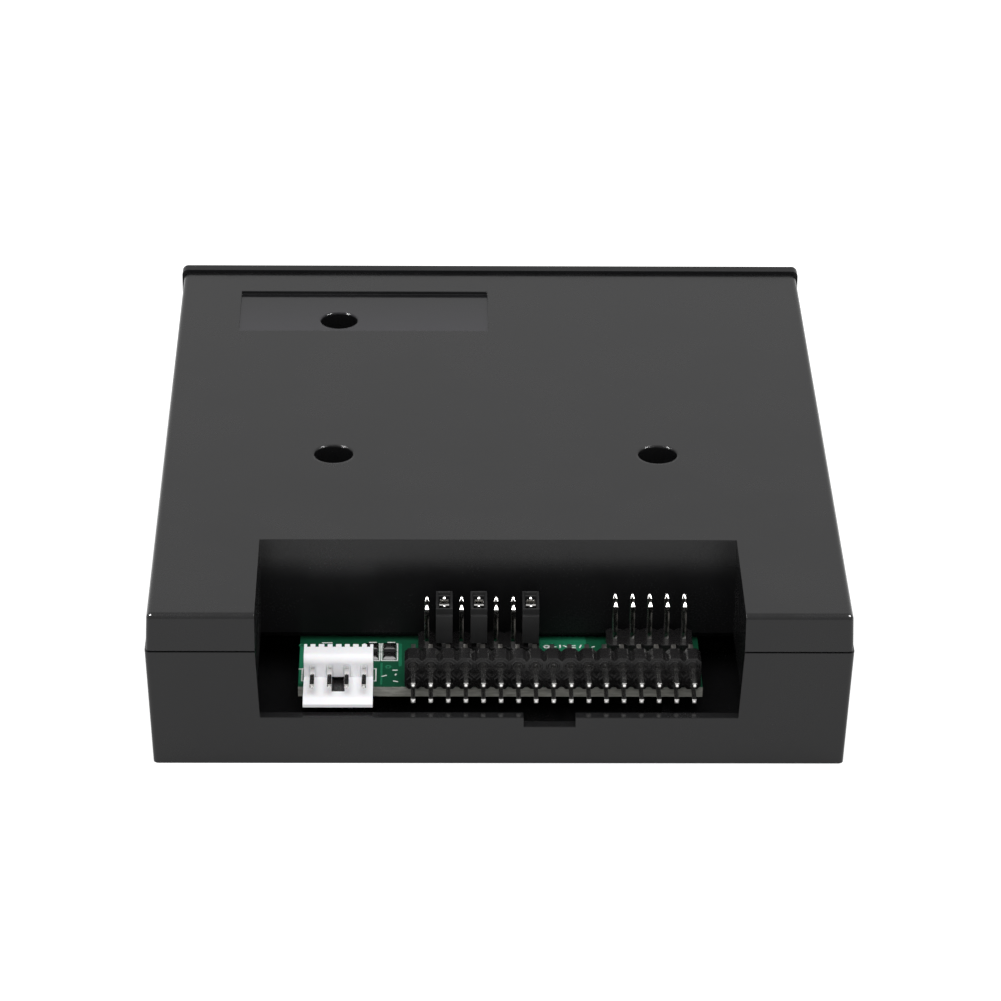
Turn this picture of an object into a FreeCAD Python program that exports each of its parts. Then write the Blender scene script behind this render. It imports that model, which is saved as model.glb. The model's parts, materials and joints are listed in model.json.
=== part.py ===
import FreeCAD, Part

import math
import os
import re

import Sketcher
from FreeCAD import Vector

# Frame: +Z up, the case stands on Z = 0, the front bezel faces -Y and the connectors face +Y.
# The origin is the middle of the base. Everything is in millimetres.

SIZES = {
    # case, two drafted shells that meet at a seam
    "case_depth": 117.0,
    "case_width": 101.6,
    "case_height": 24.4,
    "seam_height": 18.3,
    "base_draft": 0.85,
    "lid_step": 0.16,
    "lid_draft": 0.23,
    "side_wall": 1.8,
    "rear_wall": 1.6,
    "floor_thickness": 2.0,
    "roof_thickness": 2.0,
    "corner_radius": 0.8,
    "lid_edge_radius": 0.85,
    "shell_gap": 0.15,
    "seam_groove": 0.25,
    "tongue_width": 1.2,
    "tongue_drop": 1.2,
    # connector bay at the rear
    "bay_width": 70.1,
    "bay_foot_width": 68.9,
    "bay_depth": 23.0,
    "bay_sill": 7.57,
    "bay_wall": 1.6,
    "bay_wall_foot": 8.8,
    "bay_wall_rib": 1.2,
    "key_x": -7.25,
    "key_width": 7.5,
    "key_sill": 6.06,
    # wells for the case screws, and the label recess
    "well_diameter": 6.0,
    "well_wall": 1.3,
    "well_seat": 2.0,
    "well_side_inset": 25.3,
    "rear_well_inset": 50.8,
    "front_well_setback": 17.3,
    "screw_hole": 3.3,
    "screw_shank": 2.4,
    "screw_head": 5.2,
    "screw_head_height": 1.9,
    "screw_length": 7.0,
    "screw_slot_length": 2.8,
    "screw_slot_width": 0.6,
    "pilot_diameter": 2.5,
    "pilot_depth": 4.2,
    "post_diameter": 7.0,
    "label_width": 40.1,
    "label_length": 15.0,
    "label_depth": 0.55,
    "label_setback": 7.2,
    "label_edge_x": 0.6,
    # mounting holes of the case
    "mount_hole": 2.5,
    "side_hole_height": 5.0,
    "side_hole_setback": 22.0,
    "side_hole_inset": 5.0,
    "side_boss_reach": 4.0,
    "side_boss_width": 8.0,
    "side_boss_height": 9.0,
    "rib_height": 1.2,
    "rib_width": 1.2,
    # front bezel
    "bezel_rise": 0.5,
    "bezel_thickness": 2.3,
    "bezel_corner": 1.0,
    "bezel_bevel": 0.4,
    "bezel_lip": 1.5,
    "bezel_lip_wall": 1.2,
    "arm_length": 8.5,
    "arm_thickness": 1.3,
    "arm_height": 5.0,
    "arm_foot": 9.5,
    "hook_reach": 0.8,
    "catch_reach": 1.25,
    "catch_gap": 0.2,
    "catch_length": 2.0,
    "catch_inset": 5.5,
    "window_gap": 0.2,
    # circuit board
    "board_floor": 5.86,
    "board_thickness": 1.6,
    "board_rear_inset": 9.15,
    "board_front_gap": 0.8,
    "tail_width": 59.0,
    "tail_x": -0.3,
    "board_side_gap": 0.65,
    "board_front_length": 38.0,
    "rest_inset": 4.0,
    "rest_side": 5.0,
    "lead_hole": 0.9,
    "lead_tail": 1.3,
    # pin headers
    "pin_pitch": 2.54,
    "pin_side": 0.64,
    "pin_taper": 0.7,
    "pin_tip": 0.3,
    "cell_bevel": 0.55,
    "cell_dimple": 0.35,
    "data_columns": 17,
    "data_x": 12.42,
    "data_tip_inset": 3.07,
    "data_body_inset": 9.25,
    "data_body_depth": 2.5,
    "data_bend": 1.27,
    "base_height": 2.5,
    "pin_rise": 6.6,
    "select_columns": 7,
    "select_x": 10.44,
    "select_inset": 17.59,
    "service_columns": 5,
    "service_x": -17.29,
    "service_inset": 18.57,
    # jumper caps
    "cap_width": 2.44,
    "cap_length": 5.0,
    "cap_height": 6.1,
    "cap_lift": 0.75,
    "cap_step": 0.25,
    "cap_step_drop": 1.5,
    "cap_wall": 0.5,
    "clip_sheet": 0.25,
    "clip_gap": 0.04,
    "clip_top_drop": 0.5,
    # power connector
    "power_x": 23.3,
    "power_width": 10.1,
    "power_pitch": 2.5,
    "power_pins": 4,
    "power_front_inset": 1.7,
    "power_wall_inset": 8.85,
    "power_wall": 3.9,
    "power_height": 5.14,
    "power_foot": 0.8,
    "power_foot_width": 1.2,
    "power_plate": 1.0,
    "power_lip_height": 0.54,
    "power_lip_length": 1.3,
    "power_pin_height": 3.22,
    "power_tip_inset": 1.8,
    "power_window": 1.9,
    "power_window_inset": 4.7,
    "power_arch_width": 0.98,
    "power_arch_depth": 0.35,
    "power_bend": 1.1,
    # front socket
    "usb_inset": 14.3,
    "usb_width": 13.1,
    "usb_height": 5.72,
    "usb_length": 14.0,
    "usb_sheet": 0.35,
    "usb_front_recess": 0.4,
    "usb_gap": 0.25,
    "usb_tongue_width": 11.1,
    "usb_tongue_thickness": 1.84,
    "usb_tongue_rise": 0.75,
    "usb_tongue_recess": 1.2,
    "usb_back": 3.0,
    "usb_outer_contact": 3.5,
    "usb_inner_contact": 1.0,
    "usb_contact_width": 1.0,
    "usb_contact_length": 7.4,
    "usb_contact_thickness": 0.2,
    "usb_leg_width": 2.4,
    "usb_leg_drop": 2.4,
    "usb_leg_gap": 0.2,
    # display
    "display_inset": 23.8,
    "display_width": 22.5,
    "display_headroom": 0.69,
    "display_depth": 7.2,
    "display_lift": 0.25,
    "display_recess": 0.5,
    "digit_count": 3,
    "digit_pitch": 7.2,
    "digit_height": 9.1,
    "digit_width": 4.6,
    "segment_width": 0.95,
    "segment_depth": 0.1,
    "segment_gap": 0.12,
    "digit_slant": 8.0,
    "display_lead": 0.5,
    "display_lead_count": 6,
    "display_lead_inset": 1.8,
    "display_lead_reach": 1.4,
    "display_lead_step": 2.0,
    # push buttons
    "button_x": -6.0,
    "button_pitch": 11.0,
    "button_axis": 3.8,
    "button_diameter": 4.0,
    "button_gap": 0.2,
    "button_proud": 1.0,
    "button_flange": 5.6,
    "button_flange_thickness": 0.8,
    "button_flange_gap": 0.35,
    "button_stem": 3.0,
    "switch_width": 6.2,
    "switch_depth": 3.6,
    "switch_height": 6.8,
    "switch_inset": 6.0,
    "switch_cover": 0.3,
    "plunger_side": 3.0,
    "plunger_gap": 0.1,
    "plunger_reach": 2.3,
    "plunger_end_gap": 0.8,
    # indicator
    "led_x": 18.5,
    "led_diameter": 3.0,
    "led_gap": 0.1,
    "led_bevel": 0.6,
    "led_proud": 0.6,
    "led_length": 5.2,
    "led_lead": 0.5,
    "led_lead_reach": 2.0,
    # parts soldered on the board
    "chip_standoff": 0.1,
    "mcu_x": 0.0,
    "mcu_inset": 66.0,
    "mcu_side": 7.0,
    "mcu_height": 1.4,
    "mcu_leads_per_side": 8,
    "mcu_lead_pitch": 0.8,
    "mcu_lead_width": 0.35,
    "driver_x": 4.0,
    "driver_inset": 39.0,
    "driver_length": 8.65,
    "driver_width": 3.9,
    "driver_height": 1.5,
    "driver_leads_per_side": 7,
    "driver_lead_pitch": 1.27,
    "driver_lead_width": 0.42,
    "lead_foot": 0.6,
    "lead_reach": 1.0,
    "lead_sheet": 0.13,
    "crystal_x": 14.0,
    "crystal_inset": 70.0,
    "crystal_length": 11.1,
    "crystal_width": 4.6,
    "crystal_height": 3.5,
    "crystal_rim": 0.4,
    "regulator_x": -18.0,
    "regulator_inset": 37.0,
    "regulator_length": 6.5,
    "regulator_width": 3.5,
    "regulator_height": 1.6,
    "regulator_bevel": 0.3,
    "regulator_lead_place": 2.3,
    "regulator_lead_width": 0.7,
    "regulator_tab_width": 3.0,
    "can_x": 20.0,
    "can_inset": 60.0,
    "can_diameter": 6.3,
    "can_height": 5.4,
    "can_base": 6.6,
    "can_base_height": 0.8,
    "chip_length": 2.0,
    "chip_width": 1.25,
    "chip_height": 0.5,
    "chip_end": 0.35,
    "chip_skin": 0.03,
    "capacitor_height": 1.0,
    "capacitor_gap": 2.0,
    "capacitor_place": 2.6,
    "resistor_count": 3,
    "resistor_gap": 3.0,
    "resistor_row_gap": 3.6,
    "link_inset": 19.45,
    "link_offset": 4.75,
    "link_spacing": 2.62,
    "link_width": 2.0,
    "link_length": 4.8,
    "link_end": 2.1,
    "link_height": 0.5,
}

doc = FreeCAD.newDocument("floppy_drive_emulator")
sheet = doc.addObject("Spreadsheet::Sheet", "Sizes")
for row, (name, number) in enumerate(SIZES.items(), start=1):
    sheet.set(f"A{row}", name)
    sheet.set(f"B{row}", str(number))
    sheet.setAlias(f"B{row}", name)
doc.recompute()

# Places that many pieces share, as formulas of the sheet's sizes.
REAR = "((case_depth + bezel_thickness) / 2)"
FRONT = f"({REAR} - case_depth)"
BOARD_TOP = "(board_floor + board_thickness)"
BOARD_FRONT = f"({FRONT} + board_front_gap)"
SHELL_REAR = f"({REAR} - rear_wall - shell_gap)"
BAY_BACK = f"({REAR} - bay_depth)"
BASE_HALF = "(case_width / 2 - base_draft)"
WELL_X = f"({BASE_HALF} - well_side_inset)"
SEAM_HALF = "(case_width / 2)"
FOOT_HALF = "(case_width / 2 - lid_step)"
TOP_HALF = "(case_width / 2 - lid_step - lid_draft)"
ARM_FACE = f"({BASE_HALF} - side_wall - catch_reach)"
BOARD_HALF = f"({BASE_HALF} - side_wall - side_boss_reach - board_side_gap)"
BUTTON_Z = f"({BOARD_TOP} + button_axis)"
DISPLAY_X = "(display_inset - case_width / 2)"
DISPLAY_LOW = f"({BOARD_TOP} + display_lift)"
DISPLAY_HIGH = "(case_height - roof_thickness - display_headroom)"
USB_X = "(case_width / 2 - usb_inset)"
NORMAL = {"XY_Plane": 1, "XZ_Plane": -1, "YZ_Plane": 1}


def cell(name):
    """Read one size from the sheet."""
    return float(getattr(sheet, name))


def formula(text):
    """Point each size named in a formula at its cell in the sheet."""
    def point(word):
        return "Sizes." + word.group() if word.group() in SIZES else word.group()
    return re.sub(r"[a-z_]+", point, text)


rear = (cell("case_depth") + cell("bezel_thickness")) / 2
front = rear - cell("case_depth")
board_top = cell("board_floor") + cell("board_thickness")
board_rear = rear - cell("board_rear_inset")
lead_end = cell("board_floor") - cell("lead_tail")
display_x = cell("display_inset") - cell("case_width") / 2
display_low = board_top + cell("display_lift")
display_high = cell("case_height") - cell("roof_thickness") - cell("display_headroom")
usb_x = cell("case_width") / 2 - cell("usb_inset")
pitch = cell("pin_pitch")


def new_body(name):
    body = doc.addObject("PartDesign::Body", name)
    body.Label = name
    return body


def sketch_on(body, name, role, at="0"):
    """Add a sketch on the body's own origin plane, moved to a place along that plane's world axis."""
    plane = next(item for item in body.Origin.OriginFeatures if item.Role == role)
    sketch = body.newObject("Sketcher::SketchObject", f"{body.Label}_{name}")
    sketch.AttachmentSupport = [(plane, "")]
    sketch.MapMode = "FlatFace"
    side = "-" if NORMAL[role] < 0 else ""
    sketch.setExpression("AttachmentOffset.Base.z", formula(f"{side}({at})"))
    return sketch


def fix(sketch, kind, geometry, point, text):
    """Hold one coordinate of a point at a formula."""
    number = sketch.addConstraint(Sketcher.Constraint(kind, -1, 1, geometry, point, 1.0))
    sketch.setExpression(f"Constraints[{number}]", formula(text))


def outline(sketch, corners):
    """Draw a closed polygon whose corners are pairs of formulas."""
    first = sketch.GeometryCount
    count = len(corners)
    turns = [2 * math.pi * i / count for i in range(count)]
    rough = [Vector(math.cos(turn), math.sin(turn), 0) * 9 for turn in turns]
    for i in range(count):
        sketch.addGeometry(Part.LineSegment(rough[i], rough[(i + 1) % count]))
    for i in range(count):
        after = first + (i + 1) % count
        sketch.addConstraint(Sketcher.Constraint("Coincident", first + i, 2, after, 1))
    for i, (across, up) in enumerate(corners):
        fix(sketch, "DistanceX", first + i, 1, across)
        fix(sketch, "DistanceY", first + i, 1, up)


def rectangle(sketch, left, low, right, high):
    outline(sketch, [(left, low), (right, low), (right, high), (left, high)])


def circle(sketch, across, up, diameter):
    number = sketch.addGeometry(Part.Circle(Vector(3, 2, 0), Vector(0, 0, 1), 1))
    fix(sketch, "DistanceX", number, 3, across)
    fix(sketch, "DistanceY", number, 3, up)
    size = sketch.addConstraint(Sketcher.Constraint("Diameter", number, 2.0))
    sketch.setExpression(f"Constraints[{size}]", formula(diameter))


def side_of(sketch):
    return NORMAL[sketch.AttachmentSupport[0][0].Role]


def pad(body, sketch, length, along):
    """Add material from the sketch towards the plus or minus side of its world axis."""
    feature = body.newObject("PartDesign::Pad", f"{sketch.Name}_pad")
    feature.Profile = sketch
    feature.setExpression("Length", formula(length))
    feature.Reversed = side_of(sketch) * along < 0
    return feature


def pocket(body, sketch, length, along):
    """Cut from the sketch towards the plus or minus side of its world axis."""
    feature = body.newObject("PartDesign::Pocket", f"{sketch.Name}_cut")
    feature.Profile = sketch
    feature.setExpression("Length", formula(length))
    feature.Reversed = side_of(sketch) * along > 0
    return feature


def repeat_along_x(body, feature, sketch, step, count):
    """Repeat a feature towards -X."""
    pattern = body.newObject("PartDesign::LinearPattern", f"{feature.Name}_row")
    pattern.Originals = [feature]
    pattern.Direction = (sketch, ["H_Axis"])
    pattern.Reversed = True
    pattern.setExpression("Length", formula(f"({step}) * (({count}) - 1)"))
    pattern.setExpression("Occurrences", formula(count))
    body.Tip = pattern
    return pattern


def edges_where(feature, test):
    doc.recompute()
    return [f"Edge{i}" for i, edge in enumerate(feature.Shape.Edges, start=1) if test(edge)]


def round_edges(body, feature, name, test, radius):
    names = edges_where(feature, test)
    fillet = body.newObject("PartDesign::Fillet", f"{body.Label}_{name}")
    fillet.Base = (feature, names)
    fillet.setExpression("Radius", formula(radius))
    return fillet


def bevel_edges(body, feature, name, test, size):
    names = edges_where(feature, test)
    chamfer = body.newObject("PartDesign::Chamfer", f"{body.Label}_{name}")
    chamfer.Base = (feature, names)
    chamfer.setExpression("Size", formula(size))
    return chamfer


def middle(edge):
    return edge.valueAt((edge.FirstParameter + edge.LastParameter) / 2)


def is_rear_corner(edge):
    """An upright edge at the left or right end of the rear face."""
    box = edge.BoundBox
    return box.YLength < 0.01 and abs(middle(edge).y - rear) < 0.01 and box.ZLength > box.XLength


# Lower shell

def lower_shell():
    body = new_body("lower_shell")
    section = sketch_on(body, "section", "XZ_Plane", REAR)
    outline(section, [
        (f"-{BASE_HALF}", "0"),
        (BASE_HALF, "0"),
        (SEAM_HALF, "seam_height"),
        (f"-{SEAM_HALF}", "seam_height"),
    ])
    block = pad(body, section, "case_depth", -1)
    round_edges(body, block, "rear_corners", is_rear_corner, "corner_radius")

    inside = sketch_on(body, "inside", "XZ_Plane", f"{REAR} - rear_wall")
    outline(inside, [
        (f"-({BASE_HALF} - side_wall)", "floor_thickness"),
        (f"{BASE_HALF} - side_wall", "floor_thickness"),
        (f"{SEAM_HALF} - side_wall", "seam_height"),
        (f"-({SEAM_HALF} - side_wall)", "seam_height"),
    ])
    pocket(body, inside, "case_depth", -1)

    bay = sketch_on(body, "bay", "XZ_Plane", REAR)
    outline(bay, [
        ("-bay_foot_width / 2", "bay_sill"),
        ("bay_foot_width / 2", "bay_sill"),
        ("bay_width / 2", "seam_height"),
        ("-bay_width / 2", "seam_height"),
    ])
    pocket(body, bay, "rear_wall", -1)

    key = sketch_on(body, "key", "XZ_Plane", REAR)
    rectangle(key, "key_x - key_width / 2", "key_sill", "key_x + key_width / 2", "bay_sill")
    pocket(body, key, "rear_wall", -1)

    add_floor_ribs(body)
    add_screw_posts(body)
    add_board_rests(body)
    add_bezel_catches(body)
    add_side_bosses(body)
    return body


def add_floor_ribs(body):
    """Two stiffening ribs along the case, under the screw posts."""
    ribs = sketch_on(body, "ribs", "XY_Plane", "floor_thickness")
    for place in (f"-{WELL_X}", WELL_X):
        rectangle(ribs, f"{place} - rib_width / 2", f"{FRONT} + bezel_lip + 1",
                  f"{place} + rib_width / 2", f"{REAR} - rear_wall")
    pad(body, ribs, "rib_height", 1)


def well_places():
    """Formulas of the case screws' places."""
    return [
        (f"-{WELL_X}", f"{REAR} - rear_well_inset"),
        (WELL_X, f"{REAR} - rear_well_inset"),
        (WELL_X, f"{FRONT} + front_well_setback"),
    ]


def add_screw_posts(body):
    posts = sketch_on(body, "posts", "XY_Plane", "floor_thickness")
    for across, along in well_places():
        circle(posts, across, along, "post_diameter")
    pad(body, posts, "board_floor - floor_thickness", 1)
    pilots = sketch_on(body, "pilots", "XY_Plane", "board_floor")
    for across, along in well_places():
        circle(pilots, across, along, "pilot_diameter")
    pocket(body, pilots, "pilot_depth", -1)


def add_board_rests(body):
    """Two square posts under the corners of the board's wide front part."""
    rests = sketch_on(body, "rests", "XY_Plane", "floor_thickness")
    near = f"{BOARD_FRONT} + board_front_length - rest_inset"
    for side in ("-", ""):
        rectangle(rests, f"{side}({BOARD_HALF} - rest_inset - rest_side)", f"{near} - rest_side",
                  f"{side}({BOARD_HALF} - rest_inset)", near)
    pad(body, rests, "board_floor - floor_thickness", 1)


def add_bezel_catches(body):
    """Blocks on the side walls that the bezel's hooks close behind."""
    catches = sketch_on(body, "catches", "XY_Plane", "arm_foot")
    near = f"{FRONT} + catch_inset"
    for side in ("-", ""):
        rectangle(catches, f"{side}({ARM_FACE} + catch_gap)", near,
                  f"{side}({BASE_HALF} - side_wall / 2)", f"{near} + catch_length")
    pad(body, catches, "arm_height", 1)


def add_side_bosses(body):
    """Blocks inside the side walls with the screw holes of the sides, mirrored from +X to -X."""
    places = [f"{FRONT} + side_hole_setback", f"{REAR} - side_hole_inset"]
    blocks = sketch_on(body, "side_bosses", "XY_Plane", "floor_thickness")
    for along in places:
        rectangle(blocks, f"{BASE_HALF} - side_wall - side_boss_reach", f"{along} - side_boss_width / 2",
                  f"{BASE_HALF} - side_wall / 2", f"{along} + side_boss_width / 2")
    bosses = pad(body, blocks, "side_boss_height - floor_thickness", 1)
    holes = sketch_on(body, "side_holes", "YZ_Plane", SEAM_HALF)
    for along in places:
        circle(holes, along, "side_hole_height", "mount_hole")
    drilled = pocket(body, holes, "base_draft + side_wall / 2 + side_boss_reach", -1)
    mirror = body.newObject("PartDesign::Mirrored", "lower_shell_other_side")
    mirror.Originals = [bosses, drilled]
    plane = next(item for item in body.Origin.OriginFeatures if item.Role == "YZ_Plane")
    mirror.MirrorPlane = (plane, [""])
    body.Tip = mirror


# Upper shell

def upper_shell():
    body = new_body("upper_shell")
    section = sketch_on(body, "section", "XZ_Plane", REAR)
    outline(section, [
        (f"-{FOOT_HALF}", "seam_height"),
        (FOOT_HALF, "seam_height"),
        (TOP_HALF, "case_height"),
        (f"-{TOP_HALF}", "case_height"),
    ])
    block = pad(body, section, "case_depth", -1)
    corners = round_edges(body, block, "rear_corners", is_rear_corner, "corner_radius")
    top = cell("case_height")

    def is_top_rim(edge):
        box = edge.BoundBox
        return box.ZMin > top - 0.01 and middle(edge).y > front + 0.01
    round_edges(body, corners, "top_rim", is_top_rim, "lid_edge_radius")

    inside = sketch_on(body, "inside", "XZ_Plane", SHELL_REAR)
    outline(inside, [
        (f"-({FOOT_HALF} - side_wall)", "seam_height"),
        (f"{FOOT_HALF} - side_wall", "seam_height"),
        (f"{TOP_HALF} - side_wall", "case_height - roof_thickness"),
        (f"-({TOP_HALF} - side_wall)", "case_height - roof_thickness"),
    ])
    pocket(body, inside, "case_depth", -1)

    groove = sketch_on(body, "seam_groove", "XZ_Plane", REAR)
    rectangle(groove, f"-{SEAM_HALF}", "seam_height", SEAM_HALF, "seam_height + seam_groove")
    pocket(body, groove, "seam_groove", -1)

    add_tongue(body)
    add_bay(body)
    add_wells(body)
    return body


def add_tongue(body):
    """A rim below the seam that drops inside the lower shell's side walls."""
    tongue = sketch_on(body, "tongue", "XZ_Plane", SHELL_REAR)
    outer = f"{SEAM_HALF} - side_wall - 2 * shell_gap"
    for side in ("-", ""):
        outline(tongue, [
            (f"{side}({outer} - tongue_width)", "seam_height - tongue_drop"),
            (f"{side}({outer})", "seam_height - tongue_drop"),
            (f"{side}({outer})", "seam_height"),
            (f"{side}({FOOT_HALF} - side_wall / 2)", "seam_height"),
            (f"{side}({FOOT_HALF} - side_wall / 2)", "seam_height + tongue_drop"),
            (f"{side}({outer} - tongue_width)", "seam_height + tongue_drop"),
        ])
    pad(body, tongue, "case_depth - rear_wall - shell_gap - bezel_lip - 1", -1)


def add_bay(body):
    """The open bay round the connectors: a wall on three sides, ribs behind it, and the opening."""
    walls = sketch_on(body, "bay_walls", "XY_Plane", "bay_wall_foot")
    outline(walls, [
        ("-(bay_width / 2 + bay_wall)", f"{BAY_BACK} - bay_wall"),
        ("bay_width / 2 + bay_wall", f"{BAY_BACK} - bay_wall"),
        ("bay_width / 2 + bay_wall", SHELL_REAR),
        ("bay_width / 2", SHELL_REAR),
        ("bay_width / 2", BAY_BACK),
        ("-bay_width / 2", BAY_BACK),
        ("-bay_width / 2", SHELL_REAR),
        ("-(bay_width / 2 + bay_wall)", SHELL_REAR),
    ])
    pad(body, walls, "case_height - roof_thickness - bay_wall_foot", 1)

    ribs = sketch_on(body, "bay_ribs", "XY_Plane", "seam_height - tongue_drop")
    for place in (-1, 1):
        middle_x = f"{place} * bay_width / 4"
        rectangle(ribs, f"{middle_x} - bay_wall_rib / 2", f"{REAR} - rear_well_inset + well_diameter",
                  f"{middle_x} + bay_wall_rib / 2", f"{BAY_BACK} - bay_wall / 2")
    pad(body, ribs, "case_height - roof_thickness / 2 - seam_height + tongue_drop", 1)

    opening = sketch_on(body, "bay_opening", "XY_Plane", "case_height")
    rectangle(opening, "-bay_width / 2", BAY_BACK, "bay_width / 2", REAR)
    pocket(body, opening, "case_height - seam_height", -1)


def add_wells(body):
    """Deep screw wells that clamp the board, and the recess for a label."""
    tubes = sketch_on(body, "well_tubes", "XY_Plane", BOARD_TOP)
    for across, along in well_places():
        circle(tubes, across, along, "well_diameter + 2 * well_wall")
    pad(body, tubes, f"case_height - roof_thickness / 2 - {BOARD_TOP}", 1)
    label = sketch_on(body, "label", "XY_Plane", "case_height")
    rectangle(label, "label_edge_x", f"{FRONT} + label_setback",
              "label_edge_x + label_width", f"{FRONT} + label_setback + label_length")
    pocket(body, label, "label_depth", -1)
    wells = sketch_on(body, "wells", "XY_Plane", "case_height")
    for across, along in well_places():
        circle(wells, across, along, "well_diameter")
    pocket(body, wells, f"case_height - {BOARD_TOP} - well_seat", -1)
    holes = sketch_on(body, "screw_holes", "XY_Plane", f"{BOARD_TOP} + well_seat")
    for across, along in well_places():
        circle(holes, across, along, "screw_hole")
    pocket(body, holes, "well_seat", -1)


# Front bezel

def front_bezel():
    body = new_body("front_bezel")
    plate = sketch_on(body, "plate", "XZ_Plane", FRONT)
    rectangle(plate, f"-{SEAM_HALF}", "0", SEAM_HALF, "case_height + bezel_rise")
    block = pad(body, plate, "bezel_thickness", -1)

    def is_corner(edge):
        return edge.BoundBox.YLength > 0.5
    corners = round_edges(body, block, "corners", is_corner, "bezel_corner")
    face = front - cell("bezel_thickness")

    def is_front_rim(edge):
        return edge.BoundBox.YMax < face + 0.01
    bevel_edges(body, corners, "front_rim", is_front_rim, "bezel_bevel")

    lips = sketch_on(body, "lips", "XZ_Plane", FRONT)
    half = f"({BASE_HALF} - side_wall - tongue_width - 4 * shell_gap)"
    low = "floor_thickness + shell_gap"
    high = "case_height - roof_thickness - shell_gap"
    rectangle(lips, f"-{half}", low, half, f"{low} + bezel_lip_wall")
    beside = "(display_width / 2 + window_gap)"
    rectangle(lips, f"-{half}", f"{high} - bezel_lip_wall", f"{DISPLAY_X} - {beside}", high)
    rectangle(lips, f"{DISPLAY_X} + {beside}", f"{high} - bezel_lip_wall", half, high)
    pad(body, lips, "bezel_lip", 1)

    add_bezel_arms(body)
    add_bezel_openings(body)
    return body


def add_bezel_arms(body):
    """Spring arms with barbs that close behind the catches in the lower shell."""
    arms = sketch_on(body, "arms", "XY_Plane", "arm_foot")
    behind = f"{FRONT} + catch_inset + catch_length + catch_gap / 2"
    for side in ("-", ""):
        outline(arms, [
            (f"{side}({ARM_FACE} - arm_thickness)", FRONT),
            (f"{side}{ARM_FACE}", FRONT),
            (f"{side}{ARM_FACE}", behind),
            (f"{side}({ARM_FACE} + hook_reach)", behind),
            (f"{side}{ARM_FACE}", f"{FRONT} + arm_length + hook_reach"),
            (f"{side}({ARM_FACE} - arm_thickness)", f"{FRONT} + arm_length + hook_reach"),
        ])
    pad(body, arms, "arm_height", 1)


def add_bezel_openings(body):
    """Openings for the display, the buttons, the indicator and the socket."""
    cut = sketch_on(body, "openings", "XZ_Plane", FRONT)
    rectangle(cut, f"{DISPLAY_X} - display_width / 2 - window_gap", f"{DISPLAY_LOW} - window_gap",
              f"{DISPLAY_X} + display_width / 2 + window_gap", f"{DISPLAY_HIGH} + window_gap")
    for place in button_places():
        circle(cut, place, BUTTON_Z, "button_diameter + 2 * button_gap")
    circle(cut, "led_x", BUTTON_Z, "led_diameter + 2 * led_gap")
    rectangle(cut, f"{USB_X} - usb_width / 2 - usb_gap", f"{BOARD_TOP} - usb_gap",
              f"{USB_X} + usb_width / 2 + usb_gap", f"{BOARD_TOP} + usb_height + usb_gap")
    pocket(body, cut, "bezel_thickness", -1)


def button_places():
    return ["button_x", "(button_x + button_pitch)"]


# Circuit board

def circuit_board():
    body = new_body("circuit_board")
    plan = sketch_on(body, "plan", "XY_Plane", "board_floor")
    shoulder = f"{BOARD_FRONT} + board_front_length"
    end = f"{REAR} - board_rear_inset"
    outline(plan, [
        (f"-{BOARD_HALF}", BOARD_FRONT),
        (BOARD_HALF, BOARD_FRONT),
        (BOARD_HALF, shoulder),
        ("tail_x + tail_width / 2", shoulder),
        ("tail_x + tail_width / 2", end),
        ("tail_x - tail_width / 2", end),
        ("tail_x - tail_width / 2", shoulder),
        (f"-{BOARD_HALF}", shoulder),
    ])
    pad(body, plan, "board_thickness", 1)

    holes = sketch_on(body, "screw_holes", "XY_Plane", BOARD_TOP)
    for across, along in well_places():
        circle(holes, across, along, "screw_hole")
    pocket(body, holes, "board_thickness", -1)

    slots = sketch_on(body, "socket_slots", "XY_Plane", BOARD_TOP)
    leg_y = f"{FRONT} - bezel_thickness + usb_front_recess + usb_length / 2"
    for side in ("-", "+"):
        middle_x = f"{USB_X} {side} (usb_width - usb_sheet) / 2"
        half_x = "(usb_sheet / 2 + usb_leg_gap)"
        half_y = "(usb_leg_width / 2 + usb_leg_gap)"
        rectangle(slots, f"{middle_x} - {half_x}", f"{leg_y} - {half_y}",
                  f"{middle_x} + {half_x}", f"{leg_y} + {half_y}")
    pocket(body, slots, "board_thickness", -1)

    body_back = "(data_body_inset + data_body_depth + data_bend)"
    data_rows = [f"{REAR} - {body_back}", f"{REAR} - {body_back} - pin_pitch"]
    lead_holes(body, "data", "data_x", data_rows, "pin_pitch", "data_columns")
    select_rows = [f"{REAR} - select_inset", f"{REAR} - select_inset - pin_pitch"]
    lead_holes(body, "select", "select_x", select_rows, "pin_pitch", "select_columns")
    service_rows = [f"{REAR} - service_inset", f"{REAR} - service_inset - pin_pitch"]
    lead_holes(body, "service", "service_x", service_rows, "pin_pitch", "service_columns")
    power_row = [f"{REAR} - power_wall_inset - power_wall - power_bend"]
    first_power = "power_x + power_pitch * (power_pins - 1) / 2"
    lead_holes(body, "power", first_power, power_row, "power_pitch", "power_pins")
    return body


def lead_holes(body, name, first_x, rows, step, count):
    """Rows of holes for leads, from the first column towards -X; square, as their pins are."""
    holes = sketch_on(body, f"{name}_holes", "XY_Plane", BOARD_TOP)
    for along in rows:
        rectangle(holes, f"{first_x} - lead_hole / 2", f"{along} - lead_hole / 2",
                  f"{first_x} + lead_hole / 2", f"{along} + lead_hole / 2")
    drilled = pocket(body, holes, "board_thickness", -1)
    repeat_along_x(body, drilled, holes, step, count)


# Pin headers

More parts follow.
